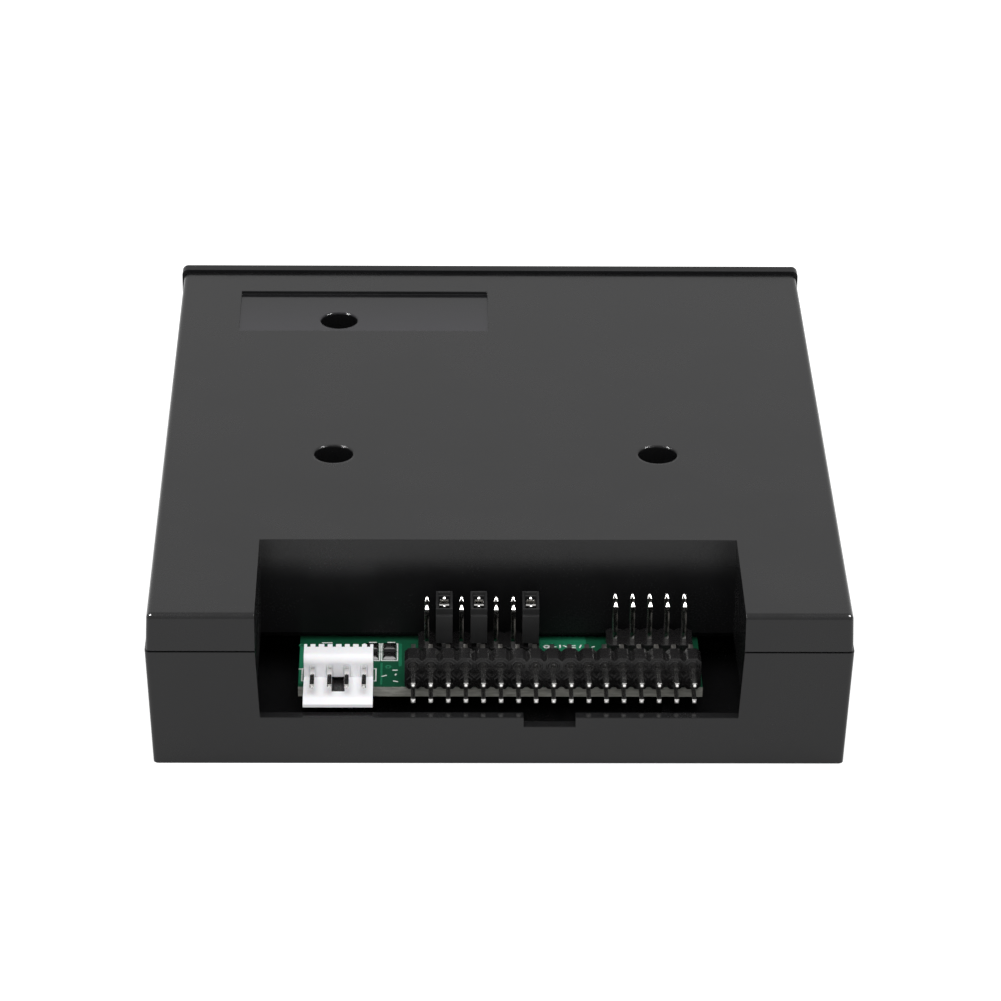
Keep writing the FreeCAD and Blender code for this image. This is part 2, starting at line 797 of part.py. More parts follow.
def header_strip(name, role, place, first_x, low, depth, along, columns):
    """A two-row header moulding: bevelled cells side by side, each with a square hole for its pin."""
    body = new_body(name)
    high = f"{low} + 2 * pin_pitch"
    last_x = f"{first_x} - pin_pitch * ({columns} - 1)"
    strip = sketch_on(body, "strip", role, place)
    rectangle(strip, f"{last_x} - pin_pitch / 2", low, f"{first_x} + pin_pitch / 2", high)
    block = pad(body, strip, depth, along)
    length = cell(depth)

    def is_end_corner(edge):
        box = edge.BoundBox
        deep = box.YLength if role == "XZ_Plane" else box.ZLength
        return abs(deep - length) < 0.001 and abs(edge.Length - length) < 0.001
    bevel_edges(body, block, "end_corners", is_end_corner, "cell_bevel")

    between = f"{first_x} - pin_pitch / 2"
    notches = sketch_on(body, "notches", role, place)
    for edge, inward in ((low, "+"), (high, "-")):
        outline(notches, [
            (f"{between} - cell_bevel", edge),
            (f"{between} + cell_bevel", edge),
            (between, f"{edge} {inward} cell_bevel"),
        ])
    notched = pocket(body, notches, depth, along)
    repeat_along_x(body, notched, notches, "pin_pitch", f"{columns} - 1")

    if role == "XZ_Plane":
        add_dimples(body, place, between, f"{low} + pin_pitch", columns)

    holes = sketch_on(body, "pin_holes", role, place)
    for row in (0.5, 1.5):
        across = f"{low} + {row} * pin_pitch"
        rectangle(holes, f"{first_x} - pin_side / 2", f"{across} - pin_side / 2",
                  f"{first_x} + pin_side / 2", f"{across} + pin_side / 2")
    punched = pocket(body, holes, depth, along)
    repeat_along_x(body, punched, holes, "pin_pitch", columns)
    return body


def add_dimples(body, place, between, centre, columns):
    """Shallow diamonds in the face, where four cells meet."""
    dimples = sketch_on(body, "dimples", "XZ_Plane", place)
    outline(dimples, [
        (f"{between} - cell_bevel", centre),
        (between, f"{centre} - cell_bevel"),
        (f"{between} + cell_bevel", centre),
        (between, f"{centre} + cell_bevel"),
    ])
    dimpled = pocket(body, dimples, "cell_dimple", -1)
    repeat_along_x(body, dimpled, dimples, "pin_pitch", f"{columns} - 1")


def piece_from(name, solids):
    """One named piece, or a group of like pieces, that the sheet's sizes shape."""
    piece = doc.addObject("Part::Feature", name)
    piece.Label = name
    piece.Shape = solids[0] if len(solids) == 1 else Part.makeCompound(solids)
    return piece


def prism(points, thickness):
    """A flat polygon, given by its corners in space, carried along a vector."""
    return Part.Face(Part.makePolygon(points + [points[0]])).extrude(thickness)


def box_between(low, high):
    size = high - low
    return Part.makeBox(size.x, size.y, size.z, low)


def bent_pin(x, tip_y, height, bend_y, side):
    """A square pin with a tapered end that points to +Y and a leg that goes down through the board."""
    half = side / 2
    points = [
        Vector(x - half, tip_y, height - half),
        Vector(x - half, tip_y, height + half),
        Vector(x - half, bend_y - half, height + half),
        Vector(x - half, bend_y - half, lead_end),
        Vector(x - half, bend_y + half, lead_end),
        Vector(x - half, bend_y + half, height - half),
    ]
    pin = prism(points, Vector(side, 0, 0))
    tip_edges = [edge for edge in pin.Edges if edge.BoundBox.YMin > tip_y - 0.001]
    return pin.makeChamfer((side - cell("pin_tip")) / 2, tip_edges)


def straight_pin(x, y, top):
    """A square pin that stands in the board, with a long taper at its upper end."""
    side = cell("pin_side")
    taper = cell("pin_taper")
    shrink = (side - cell("pin_tip")) / 2
    corner = Vector(x - side / 2, y - side / 2, lead_end)
    shank = Part.makeBox(side, side, top - taper - lead_end, corner)
    point = Part.makeWedge(0, 0, 0, shrink, shrink, side, taper, side, side - shrink, side - shrink)
    point.rotate(Vector(0, 0, 0), Vector(1, 0, 0), 90)
    point.translate(Vector(x - side / 2, y + side / 2, top - taper))
    return shank.fuse(point).removeSplitter()


def data_header_housing():
    place = f"{REAR} - data_body_inset"
    return header_strip("data_header_housing", "XZ_Plane", place, "data_x", BOARD_TOP,
                        "data_body_depth", -1, "data_columns")


def data_header_pins():
    tip_y = rear - cell("data_tip_inset")
    bend_y = rear - cell("data_body_inset") - cell("data_body_depth") - cell("data_bend")
    pins = []
    for row in range(2):
        height = board_top + (row + 0.5) * pitch
        model = bent_pin(cell("data_x"), tip_y, height, bend_y - row * pitch, cell("pin_side"))
        for column in range(round(cell("data_columns"))):
            pins.append(model.translated(Vector(-column * pitch, 0, 0)))
    return piece_from("data_header_pins", pins)


def upright_header_base(name, first_x, inset, columns):
    low = f"({REAR} - {inset} - 1.5 * pin_pitch)"
    return header_strip(name, "XY_Plane", BOARD_TOP, first_x, low, "base_height", 1, columns)


def upright_header_pins(name, first_x, inset, columns):
    top = board_top + cell("base_height") + cell("pin_rise")
    model = straight_pin(cell(first_x), rear - cell(inset), top)
    pins = [model.translated(Vector(-column * pitch, -row * pitch, 0))
            for column in range(round(cell(columns))) for row in range(2)]
    return piece_from(name, pins)


# Jumper caps, each over one column of the select header

CAPPED_COLUMNS = (1, 3, 6)


def cap_centre(column):
    """Formulas of a cap's middle, between the two pins of its column."""
    return f"(select_x - {column} * pin_pitch)", f"({REAR} - select_inset - pin_pitch / 2)"


def jumper_cap(number, column):
    """A moulded cap, open at both ends, narrower above a ledge."""
    body = new_body(f"jumper_cap_{number}")
    across, along = cap_centre(column)
    foot = f"{BOARD_TOP} + base_height + cap_lift"
    outer = sketch_on(body, "skirt", "XY_Plane", foot)
    rectangle(outer, f"{across} - cap_width / 2", f"{along} - cap_length / 2",
              f"{across} + cap_width / 2", f"{along} + cap_length / 2")
    pad(body, outer, "cap_height - cap_step_drop", 1)
    upper = sketch_on(body, "crown", "XY_Plane", f"{foot} + cap_height - cap_step_drop")
    rectangle(upper, f"{across} - cap_width / 2", f"{along} - cap_length / 2 + cap_step",
              f"{across} + cap_width / 2", f"{along} + cap_length / 2 - cap_step")
    pad(body, upper, "cap_step_drop", 1)
    hollow = sketch_on(body, "hollow", "XY_Plane", f"{foot} + cap_height")
    half_x = "(cap_width / 2 - cap_wall)"
    half_y = "(cap_length / 2 - cap_step - cap_wall)"
    rectangle(hollow, f"{across} - {half_x}", f"{along} - {half_y}",
              f"{across} + {half_x}", f"{along} + {half_y}")
    pocket(body, hollow, "cap_height", -1)
    return body


def jumper_clip(number, column):
    """A folded contact: a bridge in the cap's mouth with a leaf down the inner side of each pin."""
    thick = cell("clip_sheet")
    x = cell("select_x") - column * pitch
    y = rear - cell("select_inset") - pitch / 2
    foot = board_top + cell("base_height") + cell("cap_lift")
    top = foot + cell("cap_height") - cell("clip_top_drop")
    half_x = cell("cap_width") / 2 - cell("cap_wall")
    half_y = pitch / 2 - cell("pin_side") / 2 - cell("clip_gap")
    clip = box_between(Vector(x - half_x, y - half_y, top - thick), Vector(x + half_x, y + half_y, top))
    for near, far in ((-half_y, thick - half_y), (half_y - thick, half_y)):
        low = Vector(x - half_x, y + near, foot + cell("cap_lift"))
        high = Vector(x + half_x, y + far, top)
        clip = clip.fuse(box_between(low, high))
    return piece_from(f"jumper_clip_{number}", [clip.removeSplitter()])


# Power connector

def power_connector_housing():
    body = new_body("power_connector_housing")
    foot = f"{BOARD_TOP} + power_foot"
    back = f"{REAR} - power_wall_inset - power_wall"
    wall = f"{REAR} - power_wall_inset"
    end = f"{REAR} - power_front_inset"
    top = f"{BOARD_TOP} + power_height"
    section = sketch_on(body, "section", "YZ_Plane", "power_x - power_width / 2")
    outline(section, [
        (back, foot),
        (end, foot),
        (end, f"{foot} + power_lip_height"),
        (f"{end} - power_lip_length", f"{foot} + power_plate"),
        (wall, f"{foot} + power_plate"),
        (wall, top),
        (back, top),
    ])
    pad(body, section, "power_width", 1)

    feet = sketch_on(body, "feet", "XY_Plane", BOARD_TOP)
    for side in ("-", "+"):
        outer = f"power_x {side} power_width / 2"
        inner = f"power_x {side} (power_width / 2 - power_foot_width)"
        rectangle(feet, outer, back, inner, f"{REAR} - board_rear_inset")
    pad(body, feet, "power_foot", 1)

    window = sketch_on(body, "window", "XY_Plane", f"{foot} + power_plate")
    rectangle(window, "power_x - power_window / 2", back,
              "power_x + power_window / 2", f"{REAR} - power_window_inset")
    pocket(body, window, "power_plate", -1)

    first = "(power_x + power_pitch * (power_pins - 1) / 2)"
    pin_z = f"{BOARD_TOP} + power_pin_height"
    arches = sketch_on(body, "arches", "XZ_Plane", wall)
    bevel = "power_arch_width / 4"
    crown = f"{pin_z} + pin_side / 2 + power_arch_width / 4"
    outline(arches, [
        (f"{first} - power_arch_width / 2", f"{foot} + power_plate"),
        (f"{first} + power_arch_width / 2", f"{foot} + power_plate"),
        (f"{first} + power_arch_width / 2", f"{crown} - {bevel}"),
        (f"{first} + power_arch_width / 2 - {bevel}", crown),
        (f"{first} - power_arch_width / 2 + {bevel}", crown),
        (f"{first} - power_arch_width / 2", f"{crown} - {bevel}"),
    ])
    arched = pocket(body, arches, "power_arch_depth", -1)
    repeat_along_x(body, arched, arches, "power_pitch", "power_pins")

    holes = sketch_on(body, "pin_holes", "XZ_Plane", wall)
    rectangle(holes, f"{first} - pin_side / 2", f"{pin_z} - pin_side / 2",
              f"{first} + pin_side / 2", f"{pin_z} + pin_side / 2")
    punched = pocket(body, holes, "power_wall", -1)
    repeat_along_x(body, punched, holes, "power_pitch", "power_pins")
    return body


def power_connector_pins():
    count = round(cell("power_pins"))
    step = cell("power_pitch")
    tip_y = rear - cell("power_tip_inset")
    bend_y = rear - cell("power_wall_inset") - cell("power_wall") - cell("power_bend")
    height = board_top + cell("power_pin_height")
    first_x = cell("power_x") + step * (count - 1) / 2
    model = bent_pin(first_x, tip_y, height, bend_y, cell("pin_side"))
    pins = [model.translated(Vector(-column * step, 0, 0)) for column in range(count)]
    return piece_from("power_connector_pins", pins)


# Front socket

def usb_shell():
    """A folded sheet tube, closed at the back, with sprung tongues cut in its top and two legs."""
    body = new_body("usb_shell")
    mouth = f"{FRONT} - bezel_thickness + usb_front_recess"
    outer = sketch_on(body, "outer", "XZ_Plane", mouth)
    rectangle(outer, f"{USB_X} - usb_width / 2", BOARD_TOP,
              f"{USB_X} + usb_width / 2", f"{BOARD_TOP} + usb_height")
    block = pad(body, outer, "usb_length", 1)

    def is_long_edge(edge):
        return edge.BoundBox.YLength > cell("usb_length") - 0.01
    round_edges(body, block, "folds", is_long_edge, "usb_sheet")

    inner = sketch_on(body, "inner", "XZ_Plane", mouth)
    rectangle(inner, f"{USB_X} - usb_width / 2 + usb_sheet", f"{BOARD_TOP} + usb_sheet",
              f"{USB_X} + usb_width / 2 - usb_sheet", f"{BOARD_TOP} + usb_height - usb_sheet")
    pocket(body, inner, "usb_length - usb_sheet", 1)

    springs = sketch_on(body, "springs", "XY_Plane", f"{BOARD_TOP} + usb_height")
    near = f"{mouth} + usb_length / 4"
    far = f"{mouth} + usb_length * 0.65"
    for side in ("-", "+"):
        middle_x = f"{USB_X} {side} usb_width / 4"
        outline(springs, [
            (f"{middle_x} - usb_contact_width - usb_sheet", near),
            (f"{middle_x} + usb_contact_width + usb_sheet", near),
            (f"{middle_x} + usb_contact_width + usb_sheet", far),
            (f"{middle_x} + usb_contact_width", far),
            (f"{middle_x} + usb_contact_width", f"{near} + usb_sheet"),
            (f"{middle_x} - usb_contact_width", f"{near} + usb_sheet"),
            (f"{middle_x} - usb_contact_width", far),
            (f"{middle_x} - usb_contact_width - usb_sheet", far),
        ])
    pocket(body, springs, "usb_sheet", -1)

    legs = sketch_on(body, "legs", "XY_Plane", f"{BOARD_TOP} + usb_sheet * 2")
    leg_y = f"{mouth} + usb_length / 2"
    for side in ("-", "+"):
        rectangle(legs, f"{USB_X} {side} usb_width / 2", f"{leg_y} - usb_leg_width / 2",
                  f"{USB_X} {side} (usb_width / 2 - usb_sheet)", f"{leg_y} + usb_leg_width / 2")
    pad(body, legs, "usb_leg_drop + usb_sheet * 2", -1)
    return body


def usb_tongue():
    """The insulator: a block at the back of the socket with a tongue towards its mouth."""
    body = new_body("usb_tongue")
    mouth = f"{FRONT} - bezel_thickness + usb_front_recess"
    low = f"{BOARD_TOP} + usb_sheet"
    high = f"{BOARD_TOP} + usb_height - usb_sheet"
    end = f"{mouth} + usb_length - usb_sheet"
    block_face = f"{end} - usb_back"
    tongue_low = f"{low} + usb_tongue_rise"
    block = sketch_on(body, "block", "XZ_Plane", end)
    rectangle(block, f"{USB_X} - usb_width / 2 + usb_sheet", low,
              f"{USB_X} + usb_width / 2 - usb_sheet", high)
    pad(body, block, "usb_back", -1)
    blade = sketch_on(body, "blade", "XZ_Plane", block_face)
    rectangle(blade, f"{USB_X} - usb_tongue_width / 2", tongue_low,
              f"{USB_X} + usb_tongue_width / 2", f"{tongue_low} + usb_tongue_thickness")
    pad(body, blade, "usb_length - usb_sheet - usb_back - usb_tongue_recess", -1)
    return body


def usb_contacts():
    mouth = front - cell("bezel_thickness") + cell("usb_front_recess")
    tip = mouth + cell("usb_tongue_recess") + cell("usb_contact_width")
    end = mouth + cell("usb_length") - cell("usb_sheet") - cell("usb_back")
    top = board_top + cell("usb_sheet") + cell("usb_tongue_rise") + cell("usb_tongue_thickness")
    half = cell("usb_contact_width") / 2
    outer = cell("usb_outer_contact")
    inner = cell("usb_inner_contact")
    strips = []
    for place in (-outer, -inner, inner, outer):
        x = usb_x + place
        far = min(tip + cell("usb_contact_length"), end)
        low = Vector(x - half, tip, top)
        high = Vector(x + half, far, top + cell("usb_contact_thickness"))
        strips.append(box_between(low, high))
    return piece_from("usb_contacts", strips)


# Display

def segment_outlines():
    """Corner lists of every bar and point of the digits, in the display's face, leaning to +X."""
    lean = math.tan(math.radians(cell("digit_slant")))
    wide = cell("digit_width") / 2
    tall = cell("digit_height") / 2
    half = cell("segment_width") / 2
    gap = cell("segment_gap")
    centre_z = (display_low + display_high) / 2
    bars = []
    count = round(cell("digit_count"))
    for digit in range(count):
        centre_x = display_x + (digit - (count - 1) / 2) * cell("digit_pitch") - half
        flat = []
        reach = wide - half
        for up in (-(tall - half), 0, tall - half):
            ends = (-reach + gap, reach - gap)
            flat.append([(ends[0], up), (ends[0] + half, up + half), (ends[1] - half, up + half),
                         (ends[1], up), (ends[1] - half, up - half), (ends[0] + half, up - half)])
        for across in (-reach, reach):
            for low, high in ((-(tall - half), 0), (0, tall - half)):
                first = low + gap
                last = high - gap
                flat.append([(across, first), (across + half, first + half), (across + half, last - half),
                             (across, last), (across - half, last - half), (across - half, first + half)])
        dot_x = wide + half * 1.6
        dot_z = -(tall - half)
        flat.append([(dot_x - half, dot_z - half), (dot_x + half, dot_z - half),
                     (dot_x + half, dot_z + half), (dot_x - half, dot_z + half)])
        for points in flat:
            bars.append([(centre_x + x + z * lean, centre_z + z) for x, z in points])
    return bars


def display_face():
    return front - cell("bezel_thickness") + cell("display_recess")


def display_segments():
    """The bars and points, laid on the display's face."""
    depth = Vector(0, -cell("segment_depth"), 0)
    bars = []
    for points in segment_outlines():
        bars.append(prism([Vector(x, display_face(), z) for x, z in points], depth))
    return piece_from("display_segments", bars)


def display_housing():
    half = cell("display_width") / 2
    low = Vector(display_x - half, display_face(), display_low)
    high = Vector(display_x + half, display_face() + cell("display_depth"), display_high)
    return piece_from("display_housing", [box_between(low, high)])


def bent_lead(x, back, height, reach, side):
    """A square lead that leaves a part's back towards +Y and bends down to rest on the board."""
    half = side / 2
    end_y = back + reach
    points = [
        Vector(x - half, back, height - half),
        Vector(x - half, back, height + half),
        Vector(x - half, end_y + half, height + half),
        Vector(x - half, end_y + half, board_top),
        Vector(x - half, end_y - half, board_top),
        Vector(x - half, end_y - half, height - half),
    ]
    return prism(points, Vector(side, 0, 0))


def display_leads():
    """Two rows of leads, the upper row bent further out."""
    side = cell("display_lead")
    back = display_face() + cell("display_depth")
    inset = cell("display_lead_inset")
    reach = cell("display_lead_reach")
    count = round(cell("display_lead_count"))
    leads = []
    rows = ((display_low + inset, reach), (display_high - inset, reach + cell("display_lead_step")))
    for height, out in rows:
        for column in range(count):
            x = display_x + (column - (count - 1) / 2) * pitch
            leads.append(bent_lead(x, back, height, out, side))
    return piece_from("display_leads", leads)


# Push buttons

def turned(body, name, profile):
    """Turn an outline of (distance along Y, radius) formulas about the body's Y axis."""
    sketch = sketch_on(body, name, "YZ_Plane", "0")
    outline(sketch, profile)
    spun = body.newObject("PartDesign::Revolution", f"{body.Label}_{name}_turned")
    spun.Profile = sketch
    spun.ReferenceAxis = (sketch, ["H_Axis"])
    spun.Angle = 360
    return spun


def stand_at(body, across, up):
    body.setExpression("Placement.Base.x", formula(across))
    body.setExpression("Placement.Base.z", formula(up))


SWITCH_FACE = f"({FRONT} + switch_inset)"
PLUNGER_END = f"({SWITCH_FACE} + switch_depth - plunger_end_gap - switch_cover)"


def button_cap(name, place):
    """A round cap with a square flange behind the bezel and a square stem to the switch."""
    body = new_body(name)
    tip = f"({FRONT} - bezel_thickness - button_proud)"
    flange = f"({FRONT} + button_flange_gap)"
    turned(body, "profile", [
        (tip, "0"),
        (tip, "button_diameter / 2 - bezel_bevel"),
        (f"{tip} + bezel_bevel", "button_diameter / 2"),
        (flange, "button_diameter / 2"),
        (flange, "0"),
    ])
    plate = sketch_on(body, "flange", "XZ_Plane", flange)
    rectangle(plate, "-button_flange / 2", "-button_flange / 2", "button_flange / 2", "button_flange / 2")
    pad(body, plate, "button_flange_thickness", 1)
    stem_foot = f"({flange} + button_flange_thickness)"
    stem = sketch_on(body, "stem", "XZ_Plane", stem_foot)
    rectangle(stem, "-button_stem / 2", "-button_stem / 2", "button_stem / 2", "button_stem / 2")
    pad(body, stem, f"{SWITCH_FACE} - plunger_reach - {stem_foot}", 1)
    stand_at(body, place, BUTTON_Z)
    return body


def square_at_button(sketch, place, side):
    rectangle(sketch, f"{place} - {side} / 2", f"{BUTTON_Z} - {side} / 2",
              f"{place} + {side} / 2", f"{BUTTON_Z} + {side} / 2")


def switch_plunger(name, place):
    """The switch's own plunger, which the cap's stem rests on."""
    body = new_body(name)
    near = f"({SWITCH_FACE} - plunger_reach)"
    face = sketch_on(body, "face", "XZ_Plane", near)
    square_at_button(face, place, "plunger_side")
    pad(body, face, f"{PLUNGER_END} - {near}", 1)
    return body


def switch_housing(name, place):
    """The switch's moulded block, with a square well for its plunger."""
    body = new_body(name)
    face = sketch_on(body, "face", "XZ_Plane", SWITCH_FACE)
    rectangle(face, f"{place} - switch_width / 2", BOARD_TOP,
              f"{place} + switch_width / 2", f"{BOARD_TOP} + switch_height")
    pad(body, face, "switch_depth", 1)
    well = sketch_on(body, "well", "XZ_Plane", SWITCH_FACE)
    square_at_button(well, place, "(plunger_side + 2 * plunger_gap)")
    pocket(body, well, "switch_depth - switch_cover", 1)
    return body


def switch_covers():
    """The sheet covers on the fronts of the switches, each with a fold over the top."""
    thick = cell("switch_cover")
    face = front + cell("switch_inset")
    top = board_top + cell("switch_height")
    half = cell("switch_width") / 2
    covers = []
    for step in range(2):
        x = cell("button_x") + step * cell("button_pitch")
        plate = box_between(Vector(x - half, face - thick, board_top), Vector(x + half, face, top + thick))
        back = face + cell("switch_depth")
        fold = box_between(Vector(x - half, face, top), Vector(x + half, back, top + thick))
        window = cell("plunger_side") / 2 + cell("plunger_gap")
        centre = Vector(x, face, board_top + cell("button_axis"))
        low = centre - Vector(window, 2 * thick, window)
        hole = box_between(low, centre + Vector(window, thick, window))
        covers.append(plate.fuse(fold).cut(hole).removeSplitter())
    return piece_from("switch_covers", covers)


# Indicator

def status_light():
    """A round lens with a bevelled end, on a horizontal axis."""
    body = new_body("status_light")
    tip = f"({FRONT} - bezel_thickness - led_proud)"
    turned(body, "profile", [
        (tip, "0"),
        (tip, "led_diameter / 2 - led_bevel"),
        (f"{tip} + led_bevel", "led_diameter / 2"),
        (f"{tip} + led_length", "led_diameter / 2"),
        (f"{tip} + led_length", "0"),
    ])
    stand_at(body, "led_x", BUTTON_Z)
    return body


def status_light_leads():
    back = front - cell("bezel_thickness") - cell("led_proud") + cell("led_length")
    height = board_top + cell("button_axis")
    reach = cell("led_lead_reach")
    places = [cell("led_x") + side * pitch / 2 for side in (-1, 1)]
    leads = [bent_lead(x, back, height, reach, cell("led_lead")) for x in places]
    return piece_from("status_light_leads", leads)


# Parts soldered on the board

def chip_body(name, across, inset, length, width, height):
    """A moulded package with a bevelled lid."""
    body = new_body(name)
    along = f"({REAR} - {inset})"
    plan = sketch_on(body, "plan", "XY_Plane", f"{BOARD_TOP} + chip_standoff")
    rectangle(plan, f"{across} - {length} / 2", f"{along} - {width} / 2",
              f"{across} + {length} / 2", f"{along} + {width} / 2")
    block = pad(body, plan, height, 1)
    top = board_top + cell("chip_standoff") + cell(height)

    def is_top_edge(edge):
        return edge.BoundBox.ZMin > top - 0.001
    bevel_edges(body, block, "lid", is_top_edge, f"{height} / 5")
    return body


def gull_lead(reach, foot, rise, width, thick):
    """A lead from the package's side down to the board, along +X from its root at the origin."""
    knee = reach - foot
    profile = [(0, rise), (0, rise + thick), (knee, rise + thick), (reach, thick), (reach, 0), (knee, rise)]
    points = [Vector(x, -width / 2, z) for x, z in profile]
    return prism(points, Vector(0, width, 0))


def leads_round(across, inset, half_span, sides, per_side, step, rise, width):
    """Leads along the sides of a package; each side is its outward angle in degrees."""
    model = gull_lead(cell("lead_reach"), cell("lead_foot"), rise, width, cell("lead_sheet"))
    model.translate(Vector(half_span, 0, 0))
    centre = Vector(cell(across), rear - cell(inset), board_top)
    leads = []
    for angle in sides:
        for place in range(per_side):
            lead = model.translated(Vector(0, (place - (per_side - 1) / 2) * step, 0))
            lead.rotate(Vector(0, 0, 0), Vector(0, 0, 1), angle)
            leads.append(lead.translated(centre))
    return leads


def microcontroller_leads():
    per_side = round(cell("mcu_leads_per_side"))
    leads = leads_round("mcu_x", "mcu_inset", cell("mcu_side") / 2, (0, 90, 180, 270), per_side,
                        cell("mcu_lead_pitch"), cell("mcu_height") / 2, cell("mcu_lead_width"))
    return piece_from("microcontroller_leads", leads)


def line_driver_leads():
    per_side = round(cell("driver_leads_per_side"))
    leads = leads_round("driver_x", "driver_inset", cell("driver_width") / 2, (90, 270), per_side,
                        cell("driver_lead_pitch"), cell("driver_height") / 2, cell("driver_lead_width"))
    return piece_from("line_driver_leads", leads)


def crystal_can():
    """A pressed can with round ends on a thin flange."""
    body = new_body("crystal_can")
    along = f"({REAR} - crystal_inset)"

    def plate(name, foot, grow, height):
        plan = sketch_on(body, name, "XY_Plane", foot)
        rectangle(plan, f"crystal_x - crystal_length / 2 - {grow}", f"{along} - crystal_width / 2 - {grow}",
                  f"crystal_x + crystal_length / 2 + {grow}", f"{along} + crystal_width / 2 + {grow}")
        return pad(body, plan, height, 1)

    plate("flange", f"{BOARD_TOP} + chip_standoff", "crystal_rim", "crystal_rim")
    can = plate("can", f"{BOARD_TOP} + chip_standoff + crystal_rim", "0", "crystal_height - crystal_rim")
    high = cell("crystal_height") * 0.6

    def is_upright(edge):
        return edge.BoundBox.ZLength > high
    round_edges(body, can, "ends", is_upright, "crystal_width * 0.46")
    return body


def voltage_regulator():
    """The bevelled block of a small power package."""
    x = cell("regulator_x")
    y = rear - cell("regulator_inset")
    foot = board_top + cell("chip_standoff")
    half = Vector(cell("regulator_length") / 2, cell("regulator_width") / 2, 0)
    low = Vector(x, y, foot) - half
    high = Vector(x, y, foot + cell("regulator_height")) + half
    block = box_between(low, high)
    crown = [edge for edge in block.Edges if edge.BoundBox.ZMin > high.z - 0.001]
    return piece_from("voltage_regulator", [block.makeChamfer(cell("regulator_bevel"), crown)])


def voltage_regulator_leads():
    """Three leads on one side and the wide tab on the other."""
    x = cell("regulator_x")
    y = rear - cell("regulator_inset")
    half = cell("regulator_width") / 2
    thick = 2 * cell("lead_sheet")
    reach = cell("lead_reach") + cell("lead_foot")
    rise = cell("regulator_height") / 2
    place = cell("regulator_lead_place")
    wide = cell("regulator_lead_width")
    leads = []
    for shift, width, side in ((-place, wide, -1), (0, wide, -1), (place, wide, -1),
                               (0, cell("regulator_tab_width"), 1)):
        lead = gull_lead(reach, cell("lead_foot"), rise, width, thick)
        lead.rotate(Vector(0, 0, 0), Vector(0, 0, 1), side * 90)
        leads.append(lead.translated(Vector(x + shift, y + side * half, board_top)))
    return piece_from("voltage_regulator_leads", leads)


def electrolytic_capacitors():
    """Two cans on square bases, either side of the board's middle."""
    radius = cell("can_diameter") / 2
    base_high = cell("can_base_height")
    half = cell("can_base") / 2
    high = cell("can_height")
    cans = []
    for side in (-1, 1):
        foot = Vector(side * cell("can_x"), rear - cell("can_inset"), board_top)
        base = box_between(foot - Vector(half, half, 0), foot + Vector(half, half, base_high))
        cans.append(base.fuse(Part.makeCylinder(radius, high - base_high, foot + Vector(0, 0, base_high))))
    return piece_from("electrolytic_capacitors", cans)


def plain_chip(x, y, along_y, height):
    """A small chip part as one block, on the board at its middle."""
    half_x = cell("chip_length") / 2
    half_y = cell("chip_width") / 2
    if along_y:
        half_x, half_y = half_y, half_x
    centre = Vector(x, y, board_top)
    return box_between(centre - Vector(half_x, half_y, 0), centre + Vector(half_x, half_y, height))


def link_resistors():
    """The two links that show beside the power connector: a body along Y between thicker metal ends."""
    half_x = cell("link_width") / 2
    half_y = cell("link_length") / 2
    end = cell("link_end")
    skin = cell("chip_skin")
    height = cell("link_height")
    first = cell("power_x") - cell("link_offset")
    chips = []
    for x in (first, first - cell("link_spacing")):
        centre = Vector(x, rear - cell("link_inset"), board_top)
        chip = box_between(centre - Vector(half_x - skin, half_y - end, 0),
                           centre + Vector(half_x - skin, half_y - end, height - skin))
        for near, far in ((-half_y, end - half_y), (half_y - end, half_y)):
            low = centre + Vector(-half_x, near, 0)
            chip = chip.fuse(box_between(low, centre + Vector(half_x, far, height)))
        chips.append(chip)
    return piece_from("link_resistors", chips)


def chip_resistors():
    """A row of chips beside the line driver."""
    gap = cell("driver_width") / 2 + cell("lead_reach") + cell("resistor_row_gap")
    y = rear - cell("driver_inset") - gap
    count = round(cell("resistor_count"))
    places = [cell("driver_x") + (place - (count - 1) / 2) * cell("resistor_gap") for place in range(count)]
    return piece_from("chip_resistors", [plain_chip(x, y, True, cell("chip_height")) for x in places])


def chip_capacitors():
    """Small capacitors close round the microcontroller."""
    height = cell("capacitor_height")
    reach = cell("mcu_side") / 2 + cell("lead_reach") + cell("capacitor_gap")
    step = cell("capacitor_place")
    x = cell("mcu_x")
    y = rear - cell("mcu_inset")
    places = [(x - reach, y - step, True), (x - reach, y + step, True), (x - step, y - reach, False),
              (x + step, y - reach, False), (x, y + reach, False)]
    chips = [plain_chip(across, along, turned_y, height) for across, along, turned_y in places]
    return piece_from("chip_capacitors", chips)


# Case screws

def case_screws():
    """Self-tapping screws in the bottom of the wells: cross recess, and a six-sided stem for the thread."""
    seat = board_top + cell("well_seat")
    head = cell("screw_head") / 2
    high = cell("screw_head_height")
    shank = cell("screw_shank") / 2
    length = cell("screw_length")
    turns = [math.pi * i / 3 for i in range(6)]
    corners = [Vector(shank * math.cos(turn), shank * math.sin(turn), 0) for turn in turns]
    blank = Part.makeCylinder(head, high).fuse(prism(corners, Vector(0, 0, -length)))
    arm = cell("screw_slot_length") / 2
    half = cell("screw_slot_width") / 2
    for across, along in ((arm, half), (half, arm)):
        blank = blank.cut(box_between(Vector(-across, -along, high / 2), Vector(across, along, high)))
    blank = blank.removeSplitter()
    x = cell("case_width") / 2 - cell("base_draft") - cell("well_side_inset")
    rear_y = rear - cell("rear_well_inset")
    front_y = front + cell("front_well_setback")
    screws = [blank.translated(Vector(a, b, seat)) for a, b in ((-x, rear_y), (x, rear_y), (x, front_y))]
    return piece_from("case_screws", screws)


